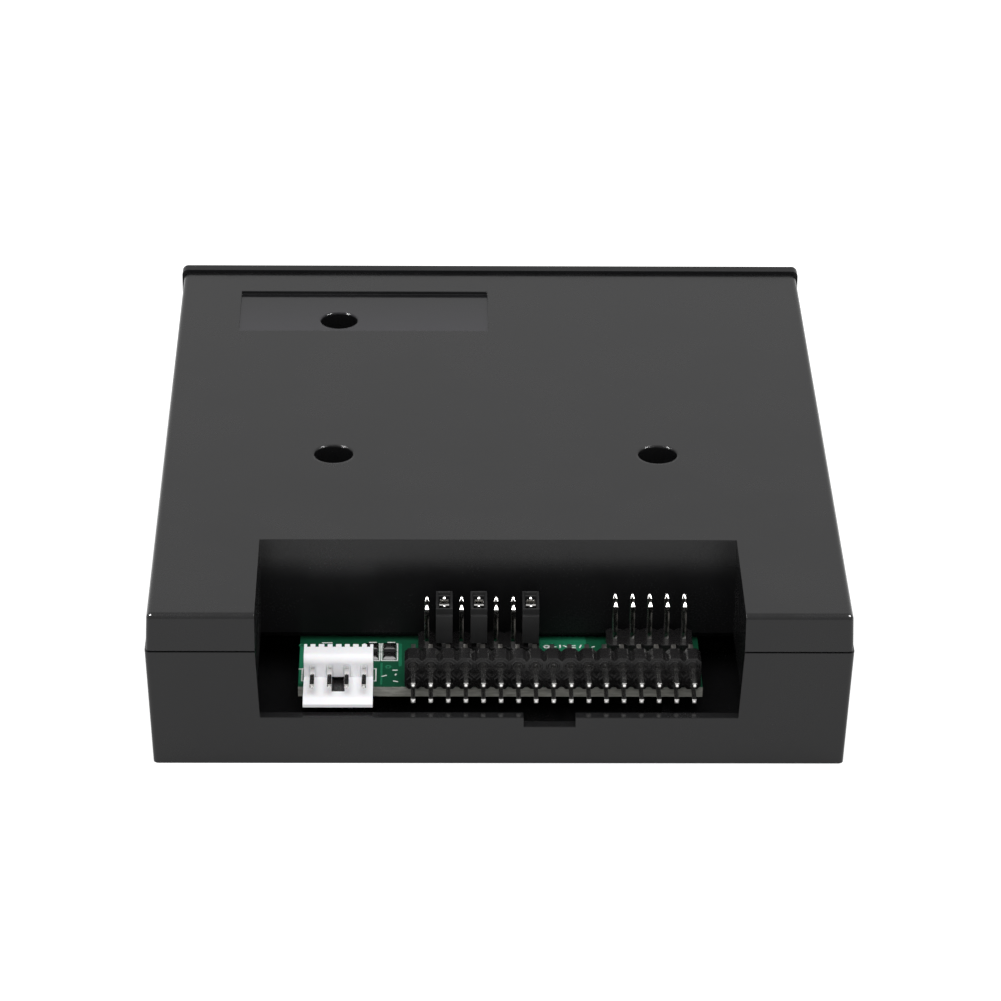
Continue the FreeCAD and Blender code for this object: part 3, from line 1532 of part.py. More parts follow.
def build_pieces():
    pieces = [lower_shell(), upper_shell(), front_bezel(), circuit_board(), case_screws()]
    pieces += [data_header_housing(), data_header_pins()]
    for name in ("select", "service"):
        place = (f"{name}_x", f"{name}_inset", f"{name}_columns")
        pieces.append(upright_header_base(f"{name}_header_base", *place))
        pieces.append(upright_header_pins(f"{name}_header_pins", *place))
    for number, column in enumerate(CAPPED_COLUMNS, start=1):
        pieces += [jumper_cap(number, column), jumper_clip(number, column)]
    pieces += [power_connector_housing(), power_connector_pins()]
    pieces += [usb_shell(), usb_tongue(), usb_contacts()]
    pieces += [display_housing(), display_segments(), display_leads()]
    for name, place in zip(("up", "down"), button_places()):
        pieces.append(button_cap(f"{name}_button", place))
        pieces.append(switch_plunger(f"{name}_switch_plunger", place))
        pieces.append(switch_housing(f"{name}_switch_housing", place))
    pieces += [switch_covers(), status_light(), status_light_leads()]
    pieces.append(chip_body("microcontroller", "mcu_x", "mcu_inset", "mcu_side", "mcu_side", "mcu_height"))
    pieces.append(microcontroller_leads())
    pieces.append(chip_body("line_driver", "driver_x", "driver_inset", "driver_length", "driver_width",
                            "driver_height"))
    pieces += [line_driver_leads(), crystal_can(), voltage_regulator(), voltage_regulator_leads()]
    pieces += [electrolytic_capacitors(), link_resistors(), chip_resistors(), chip_capacitors()]
    return pieces


def check(pieces):
    """Stop if any object failed, a cut removed nothing, or a piece is empty or not valid."""
    for item in doc.Objects:
        if "Invalid" in item.State or "Error" in item.State:
            raise RuntimeError(f"{item.Label} failed: {item.State}")
        is_cut = item.TypeId == "PartDesign::Pocket"
        if is_cut and item.Shape.Volume > item.BaseFeature.Shape.Volume - 0.001:
            raise RuntimeError(f"{item.Label} cuts nothing")
    for piece in pieces:
        if piece.Shape.isNull() or not piece.Shape.isValid() or not piece.Shape.Solids:
            raise RuntimeError(f"{piece.Label} has no valid shape")


pieces = build_pieces()
doc.recompute()
check(pieces)
os.makedirs("parts", exist_ok=True)
for piece in pieces:
    piece.Shape.exportStep(f"parts/{piece.Label}.step")
    print(piece.Label, len(piece.Shape.Solids), round(piece.Shape.Volume, 2))
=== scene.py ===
import json
import math

import bpy
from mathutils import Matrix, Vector

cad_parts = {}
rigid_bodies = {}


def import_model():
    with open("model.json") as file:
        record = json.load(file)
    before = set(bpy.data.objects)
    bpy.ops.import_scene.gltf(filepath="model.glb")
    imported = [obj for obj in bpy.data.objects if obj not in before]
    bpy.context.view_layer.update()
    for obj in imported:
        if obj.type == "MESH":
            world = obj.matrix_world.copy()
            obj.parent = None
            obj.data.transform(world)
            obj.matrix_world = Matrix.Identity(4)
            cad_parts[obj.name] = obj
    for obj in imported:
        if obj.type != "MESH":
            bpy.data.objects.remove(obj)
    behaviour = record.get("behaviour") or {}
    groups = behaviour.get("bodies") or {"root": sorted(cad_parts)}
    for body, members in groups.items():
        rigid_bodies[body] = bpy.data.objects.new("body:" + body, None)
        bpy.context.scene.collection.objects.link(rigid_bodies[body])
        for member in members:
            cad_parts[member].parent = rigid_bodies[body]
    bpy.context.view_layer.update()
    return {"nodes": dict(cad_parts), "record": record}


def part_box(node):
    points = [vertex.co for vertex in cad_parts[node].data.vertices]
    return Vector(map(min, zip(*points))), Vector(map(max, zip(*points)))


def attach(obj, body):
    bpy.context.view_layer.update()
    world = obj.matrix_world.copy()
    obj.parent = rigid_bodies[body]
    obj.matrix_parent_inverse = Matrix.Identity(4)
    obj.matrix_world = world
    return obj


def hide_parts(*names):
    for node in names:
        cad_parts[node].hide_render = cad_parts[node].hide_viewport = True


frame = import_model()
nodes = frame["nodes"]
MM = 0.001
PITCH = 2.54
POWER_PITCH = 2.5
PIN_SIDE = 0.64
DATA_COLUMNS = 17
SELECT_COLUMNS = 7
SERVICE_COLUMNS = 5
POWER_WAYS = 4

# Places on the case with a finish of their own, in millimetres: the mouths of the three wells,
# the ground of the label recess, which is smoother and carries a painted sheen, and the bay,
# whose reflections are dulled at its bottom as painted shade and stay glossy at its top
WELLS = ((-24.65, 8.85), (24.65, 8.85), (24.65, -40.05))
WELL_REACH = 3.7
WELL_ROUNDING = 0.4
LABEL_GROUND = ((0.55, -50.2, 23.6), (40.75, -35.1, 24.1))
# A painted sheen on the label recess's ground: a paler colour, full at the rear and faint at the
# front
LABEL_PAINTED_SHEEN = (0.026, 0.025, 0.03)
LABEL_GLOSS = 0.08
BAY_DEPTH = ((-35.05, 34.3, 8.5), (35.05, 59.4, 24.5))
# Painted shade in the bay: below the first height its reflections are dulled by the share given,
# fading to none above the second
BAY_SHADED_BELOW = 17.8
BAY_UNSHADED_ABOVE = 21.6
BAY_PAINTED_SHADE = 0.7

# Where on Y a bent header pin's rough cut end begins, which carries a painted highlight, and where
# its matt stub, between the board and the housing and darkened as painted shade, ends, in
# millimetres
CUT_END_FROM = 56.79
# The painted highlight on the cut ends: a near white colour
CUT_END_PAINTED_HIGHLIGHT = (0.93, 0.92, 0.9)
STUB_TO = 47.2
# The painted shade on the stubs: a dark grey colour
STUB_PAINTED_SHADE = (0.29, 0.28, 0.265)
ROUGH_METAL = 0.5


# Materials

def new_finish(name):
    """A new node material, its tree and its shader."""
    material = bpy.data.materials.new(name)
    material.use_nodes = True
    tree = material.node_tree
    shader = tree.nodes["Principled BSDF"]
    return material, tree, shader


def node(tree, kind, **values):
    """Adds a node; sockets are named in the values with underscores for spaces."""
    made = tree.nodes.new(kind)
    for key, value in values.items():
        if hasattr(made, key):
            setattr(made, key, value)
        else:
            made.inputs[key.replace("_", " ")].default_value = value
    return made


def place_of(tree):
    """The place on the object, in metres."""
    return node(tree, "ShaderNodeTexCoord").outputs["Object"]


def noise(tree, size_mm, detail=3.0, roughness=0.55, stretch=(1, 1, 1)):
    """Noise whose lumps measure about size_mm, drawn out along an axis by the stretch."""
    mapping = node(tree, "ShaderNodeMapping")
    mapping.inputs["Scale"].default_value = [1 / s for s in stretch]
    tree.links.new(place_of(tree), mapping.inputs["Vector"])
    made = node(tree, "ShaderNodeTexNoise", Scale=1 / (size_mm * MM), Detail=detail,
                Roughness=roughness)
    tree.links.new(mapping.outputs["Vector"], made.inputs["Vector"])
    return made.outputs["Fac"]


def ramp(tree, value, low, high, start=0.3, end=0.7):
    """Turns a value between start and end into one between low and high."""
    made = node(tree, "ShaderNodeMapRange", From_Min=start, From_Max=end, To_Min=low, To_Max=high)
    tree.links.new(value, made.inputs["Value"])
    return made.outputs["Result"]


def blend_colours(tree, factor, first, second):
    """A mix of two colours; each is a colour or an output."""
    made = node(tree, "ShaderNodeMix", data_type="RGBA")
    for socket, colour in ((made.inputs[6], first), (made.inputs[7], second)):
        if isinstance(colour, (tuple, list)):
            socket.default_value = (*colour, 1)
        else:
            tree.links.new(colour, socket)
    if isinstance(factor, (int, float)):
        made.inputs[0].default_value = factor
    else:
        tree.links.new(factor, made.inputs[0])
    return made.outputs[2]


def combine(tree, operation, first, second):
    """Two values put together by a Math node; each is a number or an output."""
    made = node(tree, "ShaderNodeMath", operation=operation)
    for socket, value in zip(made.inputs, (first, second)):
        if isinstance(value, (int, float)):
            socket.default_value = value
        else:
            tree.links.new(value, socket)
    return made.outputs[0]


def box_mask(tree, low, high):
    """1 inside a box between two corners in mm and 0 outside it, and the node with X, Y and Z."""
    split = node(tree, "ShaderNodeSeparateXYZ")
    tree.links.new(place_of(tree), split.inputs["Vector"])
    inside = 1.0
    for axis, start, end in zip("XYZ", low, high):
        for test, limit in (("GREATER_THAN", start), ("LESS_THAN", end)):
            past = combine(tree, test, split.outputs[axis], limit * MM)
            inside = combine(tree, "MULTIPLY", past, inside)
    return inside, split


def near_wells(tree):
    """1 on the ground around the mouths of the screw wells, 0 elsewhere."""
    flat = node(tree, "ShaderNodeVectorMath", operation="MULTIPLY")
    tree.links.new(place_of(tree), flat.inputs[0])
    flat.inputs[1].default_value = (1, 1, 0)
    least = 1.0
    for x, y in WELLS:
        away = node(tree, "ShaderNodeVectorMath", operation="DISTANCE")
        tree.links.new(flat.outputs["Vector"], away.inputs[0])
        away.inputs[1].default_value = (x * MM, y * MM, 0)
        least = combine(tree, "MINIMUM", away.outputs["Value"], least)
    return combine(tree, "LESS_THAN", least, WELL_REACH * MM)


def edge_mask(tree, radius_mm, low=0.004, high=0.12):
    """1 on sharp edges and 0 on flat faces, by how far a rounded normal leans from the face's."""
    rounded = node(tree, "ShaderNodeBevel", samples=4, Radius=radius_mm * MM)
    flat = node(tree, "ShaderNodeNewGeometry")
    lean = node(tree, "ShaderNodeVectorMath", operation="DOT_PRODUCT")
    tree.links.new(rounded.outputs["Normal"], lean.inputs[0])
    tree.links.new(flat.outputs["Normal"], lean.inputs[1])
    return ramp(tree, combine(tree, "SUBTRACT", 1.0, lean.outputs["Value"]), 0.0, 1.0, low, high)


def add_relief(tree, shader, heights, edge_mm=0.0, rim=None):
    """Chains bumps on the shader, each (height, depth in mm), over softly rounded edges, which are
    rounder where the rim mask is 1."""
    normal = None
    if edge_mm:
        rounded = node(tree, "ShaderNodeBevel", samples=6, Radius=edge_mm * MM)
        if rim:
            more = combine(tree, "MULTIPLY", rim, WELL_ROUNDING * MM)
            tree.links.new(combine(tree, "ADD", more, edge_mm * MM), rounded.inputs["Radius"])
        normal = rounded.outputs["Normal"]
    for height, depth_mm in heights:
        bump = node(tree, "ShaderNodeBump", Strength=1.0, Distance=depth_mm * MM)
        tree.links.new(height, bump.inputs["Height"])
        if normal:
            tree.links.new(normal, bump.inputs["Normal"])
        normal = bump.outputs["Normal"]
    tree.links.new(normal, shader.inputs["Normal"])


def finish_case_and_paint_light(tree, shader, base, gloss, specular):
    """Gives the case's label recess a smoother ground with a painted sheen, paler towards the rear,
    and dulls the reflections in the depth of the bay as painted shade.
    """
    recess, split = box_mask(tree, *LABEL_GROUND)
    near, far = (corner[1] * MM for corner in LABEL_GROUND)
    # Painted sheen: the recess ground grows paler from its front to its rear
    shade = ramp(tree, split.outputs["Y"], 0.05, 1.0, near, far)
    base = blend_colours(tree, combine(tree, "MULTIPLY", recess, shade), base, LABEL_PAINTED_SHEEN)
    gloss = combine(tree, "SUBTRACT", gloss, combine(tree, "MULTIPLY", recess, LABEL_GLOSS))
    bay, split = box_mask(tree, *BAY_DEPTH)
    # Painted shade: the specular level falls towards the bottom of the bay, dimming its reflections
    painted_shade_ramp = ramp(tree, split.outputs["Z"], BAY_PAINTED_SHADE, 0.0,
                BAY_SHADED_BELOW * MM, BAY_UNSHADED_ABOVE * MM)
    level = combine(tree, "SUBTRACT", 1.0, combine(tree, "MULTIPLY", bay, painted_shade_ramp))
    tree.links.new(combine(tree, "MULTIPLY", level, specular), shader.inputs["Specular IOR Level"])
    return base, gloss


def moulded(name, colour, roughness, grain_mm=0.25, grain_depth=0.004, wear_and_highlight=0.0, specular=0.5,
            edge_mm=0.12, cloud=0.12, coat=0.0, milky=0.0, cased=False):
    """Moulded plastic: spark-eroded grain, faint clouds in gloss and colour, and paler edges,
    partly worn and partly a painted highlight.
    """
    material, tree, shader = new_finish(name)
    clouds = noise(tree, 14.0, 4.0)
    grain = noise(tree, grain_mm, 2.0, 0.6)
    dark = [c * (1 - cloud) for c in colour]
    light = [min(1.0, c * (1 + cloud)) for c in colour]
    base = blend_colours(tree, ramp(tree, clouds, 0.0, 1.0), dark, light)
    # Paler edges: partly scuffs from handling, partly a painted highlight along the edges
    if wear_and_highlight:
        scuffs = noise(tree, 1.1, 3.0)
        scuffed_and_highlit = ramp(tree, scuffs, 0.0, wear_and_highlight, 0.42, 0.68)
        edges = combine(tree, "MULTIPLY", edge_mask(tree, 0.22), scuffed_and_highlit)
        base = blend_colours(tree, edges, base, [min(1.0, c * 1.6 + 0.05) for c in colour])
    gloss = combine(tree, "ADD", ramp(tree, clouds, roughness - 0.05, roughness + 0.05),
                    ramp(tree, grain, -0.04, 0.04))
    shader.inputs["Specular IOR Level"].default_value = specular
    if cased:
        base, gloss = finish_case_and_paint_light(tree, shader, base, gloss, specular)
    tree.links.new(base, shader.inputs["Base Color"])
    tree.links.new(gloss, shader.inputs["Roughness"])
    shader.inputs["Coat Weight"].default_value = coat
    shader.inputs["Coat Roughness"].default_value = 0.15
    if milky:
        shader.inputs["Subsurface Weight"].default_value = milky
        shader.inputs["Subsurface Scale"].default_value = 0.4 * MM
    add_relief(tree, shader, [(clouds, 0.01), (grain, grain_depth)], edge_mm,
               near_wells(tree) if cased else None)
    return material


def plated(name, colour, roughness, grain_mm=0.5, stretch=(1, 1, 1), tarnish=(0.5, 0.48, 0.44),
           tarnish_share=0.35, edge_mm=0.04, depth=0.002, cut=False):
    """Plated metal: drawing lines along one way, patches of tarnish, small dents. A cut pin has a
    rough end brightened with a painted highlight and a matt stub darkened with painted shade."""
    material, tree, shader = new_finish(name)
    lines = noise(tree, grain_mm, 2.0, 0.6, stretch)
    patches = noise(tree, 2.4, 4.0)
    stain = ramp(tree, patches, 0.0, tarnish_share, 0.5, 0.72)
    tint = blend_colours(tree, stain, colour, tarnish)
    gloss = combine(tree, "ADD", ramp(tree, lines, roughness - 0.06, roughness + 0.06),
                    combine(tree, "MULTIPLY", stain, 0.3))
    if cut:
        split = node(tree, "ShaderNodeSeparateXYZ")
        tree.links.new(place_of(tree), split.inputs["Vector"])
        # Painted highlight: the cut end is coloured near white; painted shade: the stub is coloured
        # dark grey
        end = combine(tree, "GREATER_THAN", split.outputs["Y"], CUT_END_FROM * MM)
        tint = blend_colours(tree, end, tint, CUT_END_PAINTED_HIGHLIGHT)
        stub = combine(tree, "LESS_THAN", split.outputs["Y"], STUB_TO * MM)
        tint = blend_colours(tree, stub, tint, STUB_PAINTED_SHADE)
        rough = combine(tree, "MULTIPLY", combine(tree, "ADD", end, stub), ROUGH_METAL)
        gloss = combine(tree, "MAXIMUM", gloss, rough)
    tree.links.new(tint, shader.inputs["Base Color"])
    shader.inputs["Metallic"].default_value = 1.0
    tree.links.new(gloss, shader.inputs["Roughness"])
    add_relief(tree, shader, [(patches, depth * 2), (lines, depth)], edge_mm)
    return material


def laminate(name):
    """Green solder mask over copper on the faces, and the bare woven laminate on the sawn edges."""
    material, tree, shader = new_finish(name)
    cloth = node(tree, "ShaderNodeTexNoise", Scale=1 / (0.5 * MM), Detail=2.0)
    tree.links.new(place_of(tree), cloth.inputs["Vector"])
    clouds = noise(tree, 9.0, 3.0)
    mask = blend_colours(tree, ramp(tree, clouds, 0.0, 1.0),
                         (0.0065, 0.074, 0.036), (0.011, 0.104, 0.05))
    glass = blend_colours(tree, ramp(tree, noise(tree, 0.35, 3.0, 0.6, (6, 6, 1)), 0.0, 1.0),
                          (0.3, 0.3, 0.27), (0.56, 0.56, 0.51))
    facing = node(tree, "ShaderNodeNewGeometry")
    split = node(tree, "ShaderNodeSeparateXYZ")
    tree.links.new(facing.outputs["Normal"], split.inputs["Vector"])
    flat = ramp(tree, combine(tree, "ABSOLUTE", split.outputs["Z"], 0.0), 0.0, 1.0, 0.4, 0.6)
    tree.links.new(blend_colours(tree, flat, glass, mask), shader.inputs["Base Color"])
    tree.links.new(ramp(tree, flat, 0.75, 0.28, 0.0, 1.0), shader.inputs["Roughness"])
    shader.inputs["Coat Weight"].default_value = 0.3
    shader.inputs["Coat Roughness"].default_value = 0.2
    add_relief(tree, shader, [(cloth.outputs["Fac"], 0.003), (clouds, 0.01)], 0.06)
    return material


def clear_lens(name, colour):
    """Tinted, slightly milky epoxy."""
    material, tree, shader = new_finish(name)
    haze = noise(tree, 0.8, 3.0)
    paler = [min(1, c * 1.25 + 0.02) for c in colour]
    tint = blend_colours(tree, ramp(tree, haze, 0.0, 1.0), colour, paler)
    tree.links.new(tint, shader.inputs["Base Color"])
    tree.links.new(ramp(tree, haze, 0.1, 0.2), shader.inputs["Roughness"])
    shader.inputs["Transmission Weight"].default_value = 0.55
    shader.inputs["Subsurface Weight"].default_value = 0.3
    shader.inputs["Subsurface Scale"].default_value = 0.5 * MM
    add_relief(tree, shader, [(haze, 0.006)])
    return material


def silk_ink(name):
    """White ink with thin and worn places."""
    material, tree, shader = new_finish(name)
    worn = noise(tree, 0.35, 3.0)
    ink = blend_colours(tree, ramp(tree, worn, 0.0, 1.0, 0.55, 0.75),
                        (0.82, 0.84, 0.82), (0.45, 0.6, 0.5))
    tree.links.new(ink, shader.inputs["Base Color"])
    tree.links.new(ramp(tree, worn, 0.45, 0.7), shader.inputs["Roughness"])
    add_relief(tree, shader, [(worn, 0.004)])
    return material


GRAIN_OF_PINS = dict(grain_mm=0.12, stretch=(1, 8, 8), tarnish=(0.5, 0.47, 0.42),
                     tarnish_share=0.12, edge_mm=0.06, depth=0.0006)
FINISHES = {
    "case_plastic": moulded("case_plastic", (0.0085, 0.0085, 0.009), 0.23, wear_and_highlight=0.05,
                            specular=0.43, edge_mm=0.2, cased=True),
    "bezel_plastic": moulded("bezel_plastic", (0.009, 0.009, 0.0098), 0.34, wear_and_highlight=0.06,
                             specular=0.16, edge_mm=0.14),
    "board_laminate": laminate("board_laminate"),
    "screw_steel": plated("screw_steel", (0.62, 0.62, 0.64), 0.3, 0.4, tarnish=(0.35, 0.34, 0.33)),
    "header_plastic": moulded("header_plastic", (0.0115, 0.011, 0.0112), 0.26, 0.18, 0.002,
                              wear_and_highlight=0.4, edge_mm=0.07),
    "pin_metal": plated("pin_metal", (0.78, 0.77, 0.75), 0.09, **GRAIN_OF_PINS),
    "cut_pin_metal_painted_light": plated("cut_pin_metal_painted_light", (0.74, 0.73, 0.71), 0.12, **GRAIN_OF_PINS, cut=True),
    "white_plastic": moulded("white_plastic", (0.93, 0.925, 0.95), 0.38, 0.3, cloud=0.03,
                             milky=0.1),
    "socket_sheet": plated("socket_sheet", (0.7, 0.7, 0.71), 0.24, 0.3, (1, 10, 1)),
    "contact_metal": plated("contact_metal", (0.86, 0.63, 0.28), 0.2, 0.2, (1, 8, 1),
                            (0.6, 0.42, 0.2)),
    "display_face": moulded("display_face", (0.03, 0.03, 0.032), 0.3, 0.15, 0.002, edge_mm=0.08),
    "display_bars": clear_lens("display_bars", (0.62, 0.58, 0.55)),
    "button_plastic": moulded("button_plastic", (0.03, 0.03, 0.032), 0.38, 0.2, 0.003),
    "switch_plastic": moulded("switch_plastic", (0.014, 0.014, 0.015), 0.5, 0.2, 0.003,
                              edge_mm=0.08),
    "light_lens": clear_lens("light_lens", (0.12, 0.55, 0.16)),
    "chip_plastic": moulded("chip_plastic", (0.016, 0.016, 0.017), 0.6, 0.12, 0.006, edge_mm=0.06),
    "chip_leads": plated("chip_leads", (0.76, 0.76, 0.77), 0.28, 0.2),
    "capacitor_can": plated("capacitor_can", (0.75, 0.75, 0.77), 0.3, 0.2, (1, 1, 12)),
    "capacitor_chip": moulded("capacitor_chip", (0.42, 0.31, 0.19), 0.55, 0.15, edge_mm=0.05),
    "cap_plastic": moulded("cap_plastic", (0.022, 0.022, 0.0225), 0.42, 0.16, wear_and_highlight=0.3,
                           edge_mm=0.05),
    "silk_ink": silk_ink("silk_ink"),
    "solder": plated("solder", (0.6, 0.6, 0.6), 0.22, 0.6, depth=0.006),
    "track_mask": moulded("track_mask", (0.016, 0.17, 0.085), 0.3, 0.4, 0.003, cloud=0.2, coat=0.3),
}

# Each CAD node's material slot, and the body that it moves with
SLOTS = {}
for entry in frame["record"]["subparts"]:
    SLOTS[entry["node"]] = entry["material_slot"]
    shown = nodes[entry["node"]]
    shown.data.materials.clear()
    shown.data.materials.append(FINISHES[entry["material_slot"]])
HOMES = {}
for body, held in frame["record"]["behaviour"]["bodies"].items():
    for name in held:
        HOMES[name] = body


# Ways of shaping, all sizes and places in millimetres

def extent(name):
    """A CAD node's lowest and highest corner."""
    return [Vector(corner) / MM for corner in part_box(name)]


def take(piece):
    """Makes a piece the only one chosen."""
    bpy.ops.object.select_all(action="DESELECT")
    piece.select_set(True)
    bpy.context.view_layer.objects.active = piece


def begin(name):
    """Names the primitive just added and puts its place into its mesh."""
    piece = bpy.context.object
    piece.name = name
    bpy.ops.object.transform_apply(location=True, rotation=True, scale=True)
    return piece


def block(name, low, high):
    """A box between two corners, the start of a piece."""
    bpy.ops.object.select_all(action="DESELECT")
    low = Vector(low)
    high = Vector(high)
    bpy.ops.mesh.primitive_cube_add(size=1, location=(low + high) / 2 * MM)
    bpy.context.object.scale = (high - low) * MM
    return begin(name)


def pick(piece, kind, test):
    """Opens a piece for editing with only those faces, edges or corners chosen that pass the test,
    which is given their middle and the way they face or run."""
    take(piece)
    bpy.ops.object.mode_set(mode="EDIT")
    bpy.ops.mesh.select_mode(type=kind)
    bpy.ops.mesh.select_all(action="DESELECT")
    bpy.ops.object.mode_set(mode="OBJECT")
    mesh = piece.data
    if kind == "FACE":
        for face in mesh.polygons:
            face.select = test(face.center / MM, face.normal)
    else:
        for edge in mesh.edges:
            first, last = (mesh.vertices[corner].co / MM for corner in edge.vertices)
            edge.select = test((first + last) / 2, (last - first).normalized())
    bpy.ops.object.mode_set(mode="EDIT")


def put_down():
    """Closes the piece that is open for editing."""
    bpy.ops.object.mode_set(mode="OBJECT")


def grow(move, scale=(1, 1, 1), centre=(0, 0, 0)):
    """Extrudes the chosen faces, then scales them about a point."""
    bpy.ops.mesh.extrude_region_move(TRANSFORM_OT_translate={"value": Vector(move) * MM})
    if tuple(scale) != (1, 1, 1):
        bpy.ops.transform.resize(value=scale, center_override=Vector(centre) * MM)


def outward():
    """Turns all faces of the open piece outwards and closes it."""
    bpy.ops.mesh.select_all(action="SELECT")
    bpy.ops.mesh.remove_doubles(threshold=0.001 * MM)
    bpy.ops.mesh.normals_make_consistent(inside=False)
    put_down()


def treat(piece, kind, **values):
    """Adds a modifier with these values and applies it."""
    take(piece)
    modifier = piece.modifiers.new(kind.lower(), kind)
    for key, value in values.items():
        setattr(modifier, key, value)
    bpy.ops.object.modifier_apply(modifier=modifier.name)


def soften(piece, width, segments=2, angle=35):
    """Rounds the piece's sharp edges."""
    treat(piece, "BEVEL", width=width * MM, segments=segments, limit_method="ANGLE",
          angle_limit=math.radians(angle), use_clamp_overlap=True)


def repeat(piece, count, step):
    """Sets copies of the piece in a row along X."""
    treat(piece, "ARRAY", count=count, use_relative_offset=False, use_constant_offset=True,
          constant_offset_displace=(step * MM, 0, 0))


def join(name, parts):
    """Makes one piece of several."""
    take(parts[0])
    for part in parts[1:]:
        part.select_set(True)
    bpy.ops.object.join()
    joined = bpy.context.object
    joined.name = name
    return joined


def turned(name, centre, rings, sides=32, along="Z", turn=0.0):
    """A round piece grown from a disc, ring by ring, each a height and a radius. Along Z it grows
    upwards, and along Y to the front."""
    height, radius = rings[0]
    bpy.ops.object.select_all(action="DESELECT")
    bpy.ops.mesh.primitive_circle_add(vertices=sides, radius=radius * MM, fill_type="NGON",
                                      location=(0, 0, height * MM),
                                      rotation=(0, 0, math.radians(turn)))
    piece = begin(name)
    bpy.ops.object.mode_set(mode="EDIT")
    bpy.ops.mesh.select_mode(type="FACE")
    bpy.ops.mesh.select_all(action="SELECT")
    for last, following in zip(rings, rings[1:]):
        share = following[1] / last[1]
        grow((0, 0, following[0] - last[0]), (share, share, 1), (0, 0, following[0]))
    outward()
    if along == "Y":
        piece.rotation_euler = (math.radians(90), 0, 0)
    piece.location = Vector(centre) * MM
    return begin(name)


def settle(piece, stands_for, finish="", hides=True, smooth=40):
    """Gives a finished piece its material, by default the finish of its CAD node's slot, smooth
    shading and its body.
    """
    slot = SLOTS[stands_for]
    piece.data.materials.clear()
    piece.data.materials.append(FINISHES[finish or slot])
    take(piece)
    bpy.ops.object.shade_smooth_by_angle(angle=math.radians(smooth))
    if hides:
        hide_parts(stands_for)
    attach(piece, HOMES[stands_for])


def softened_copy(name, width, segments=2, rear=0.0, brow=(), cutter=None):
    """A CAD node's own form with its edges rounded off. Its rear face may be drawn out a little,
    one long edge, its brow, given by its Y and its round, may be rounded more, and a cutter may be
    taken out of it."""
    piece = bpy.data.objects.new(f"{name}_form", nodes[name].data.copy())
    bpy.context.collection.objects.link(piece)
    take(piece)
    bpy.ops.object.mode_set(mode="EDIT")
    bpy.ops.mesh.select_all(action="SELECT")
    bpy.ops.mesh.remove_doubles(threshold=0.0005 * MM)
    bpy.ops.mesh.dissolve_limited(angle_limit=math.radians(1))
    put_down()
    if rear:
        pick(piece, "FACE", lambda place, way: way.y > 0.9)
        bpy.ops.transform.translate(value=(0, rear * MM, 0))
        put_down()
    if brow:
        brow_y, brow_round = brow
        top = extent(name)[1].z
        pick(piece, "EDGE", lambda place, way: abs(place.y - brow_y) < 0.02
             and place.z > top - 0.02 and abs(way.x) > 0.9)
        bpy.ops.mesh.bevel(offset=brow_round * MM, segments=8)
        put_down()
    if cutter:
        treat(piece, "BOOLEAN", object=cutter, operation="DIFFERENCE", solver="EXACT")
        bpy.data.objects.remove(cutter)
    soften(piece, width, segments)
    settle(piece, name, smooth=5)


# Pins

LEG_TAPER = 0.35
HEADER_REACH = 0.7

# A bent pin's tip: its steps, each a length and the share of the width that is left, how far its
# long edges' middles lie from its end, how rounded they are, and the bit of shaft before it
TIP_STEPS = ((0.09, 0.9), (0.09, 0.76), (0.03, 0.66))
TIP_EDGES_WITHIN = 0.17
TIP_ROUND = 0.2
TIP_SHOULDER = 0.08

# An upright pin's taper and rounded end, and the share of the width that each leaves
TAPER_LENGTH = 0.62
TAPER_END = 0.1
TAPER_SHARE = 0.45


def start_pin(x, y, low):
    """The tapered foot of a leg, with its upper face left chosen."""
    bpy.ops.object.select_all(action="DESELECT")
    bpy.ops.mesh.primitive_plane_add(size=PIN_SIDE / 2 * MM, location=Vector((x, y, low)) * MM)
    pin = begin("pin")
    bpy.ops.object.mode_set(mode="EDIT")
    bpy.ops.mesh.select_mode(type="FACE")
    bpy.ops.mesh.select_all(action="SELECT")
    grow((0, 0, LEG_TAPER), (2, 2, 1), (x, y, low + LEG_TAPER))
    return pin


def bent_pin(x, leg_y, low, height, tip_y, bend):
    """A leg up through the board, a rounded bend and a shaft to the rear with a rounded tip."""
    pin = start_pin(x, leg_y, low)
    grow((0, 0, height - bend - low - LEG_TAPER))
    bpy.ops.mesh.spin(steps=6, angle=math.radians(90), axis=(1, 0, 0),
                      center=Vector((x, leg_y + bend, height - bend)) * MM)
    reach = tip_y - leg_y - bend - sum(step for step, share in TIP_STEPS)
    grow((0, reach - TIP_SHOULDER, 0))
    grow((0, TIP_SHOULDER, 0))
    y = leg_y + bend + reach
    for step, share in TIP_STEPS:
        y += step
        grow((0, step, 0), (share, 1, share), (x, y, height))
    outward()
    pick(pin, "EDGE", lambda place, way: place.y > y - TIP_EDGES_WITHIN and abs(way.y) > 0.5)
    bpy.ops.mesh.bevel(offset=TIP_ROUND * MM, segments=3)
    put_down()
    soften(pin, 0.03, 2, 50)
    return pin


def upright_pin(x, y, low, top):
    """A straight pin with a long four-sided taper and a rounded end."""
    share = (TAPER_SHARE, TAPER_SHARE, 1)
    pin = start_pin(x, y, low)
    grow((0, 0, top - TAPER_END - TAPER_LENGTH - low - LEG_TAPER))
    grow((0, 0, TAPER_LENGTH), share, (x, y, top - TAPER_END))
    grow((0, 0, TAPER_END), share, (x, y, top))
    outward()
    soften(pin, 0.035, 2, 20)
    return pin


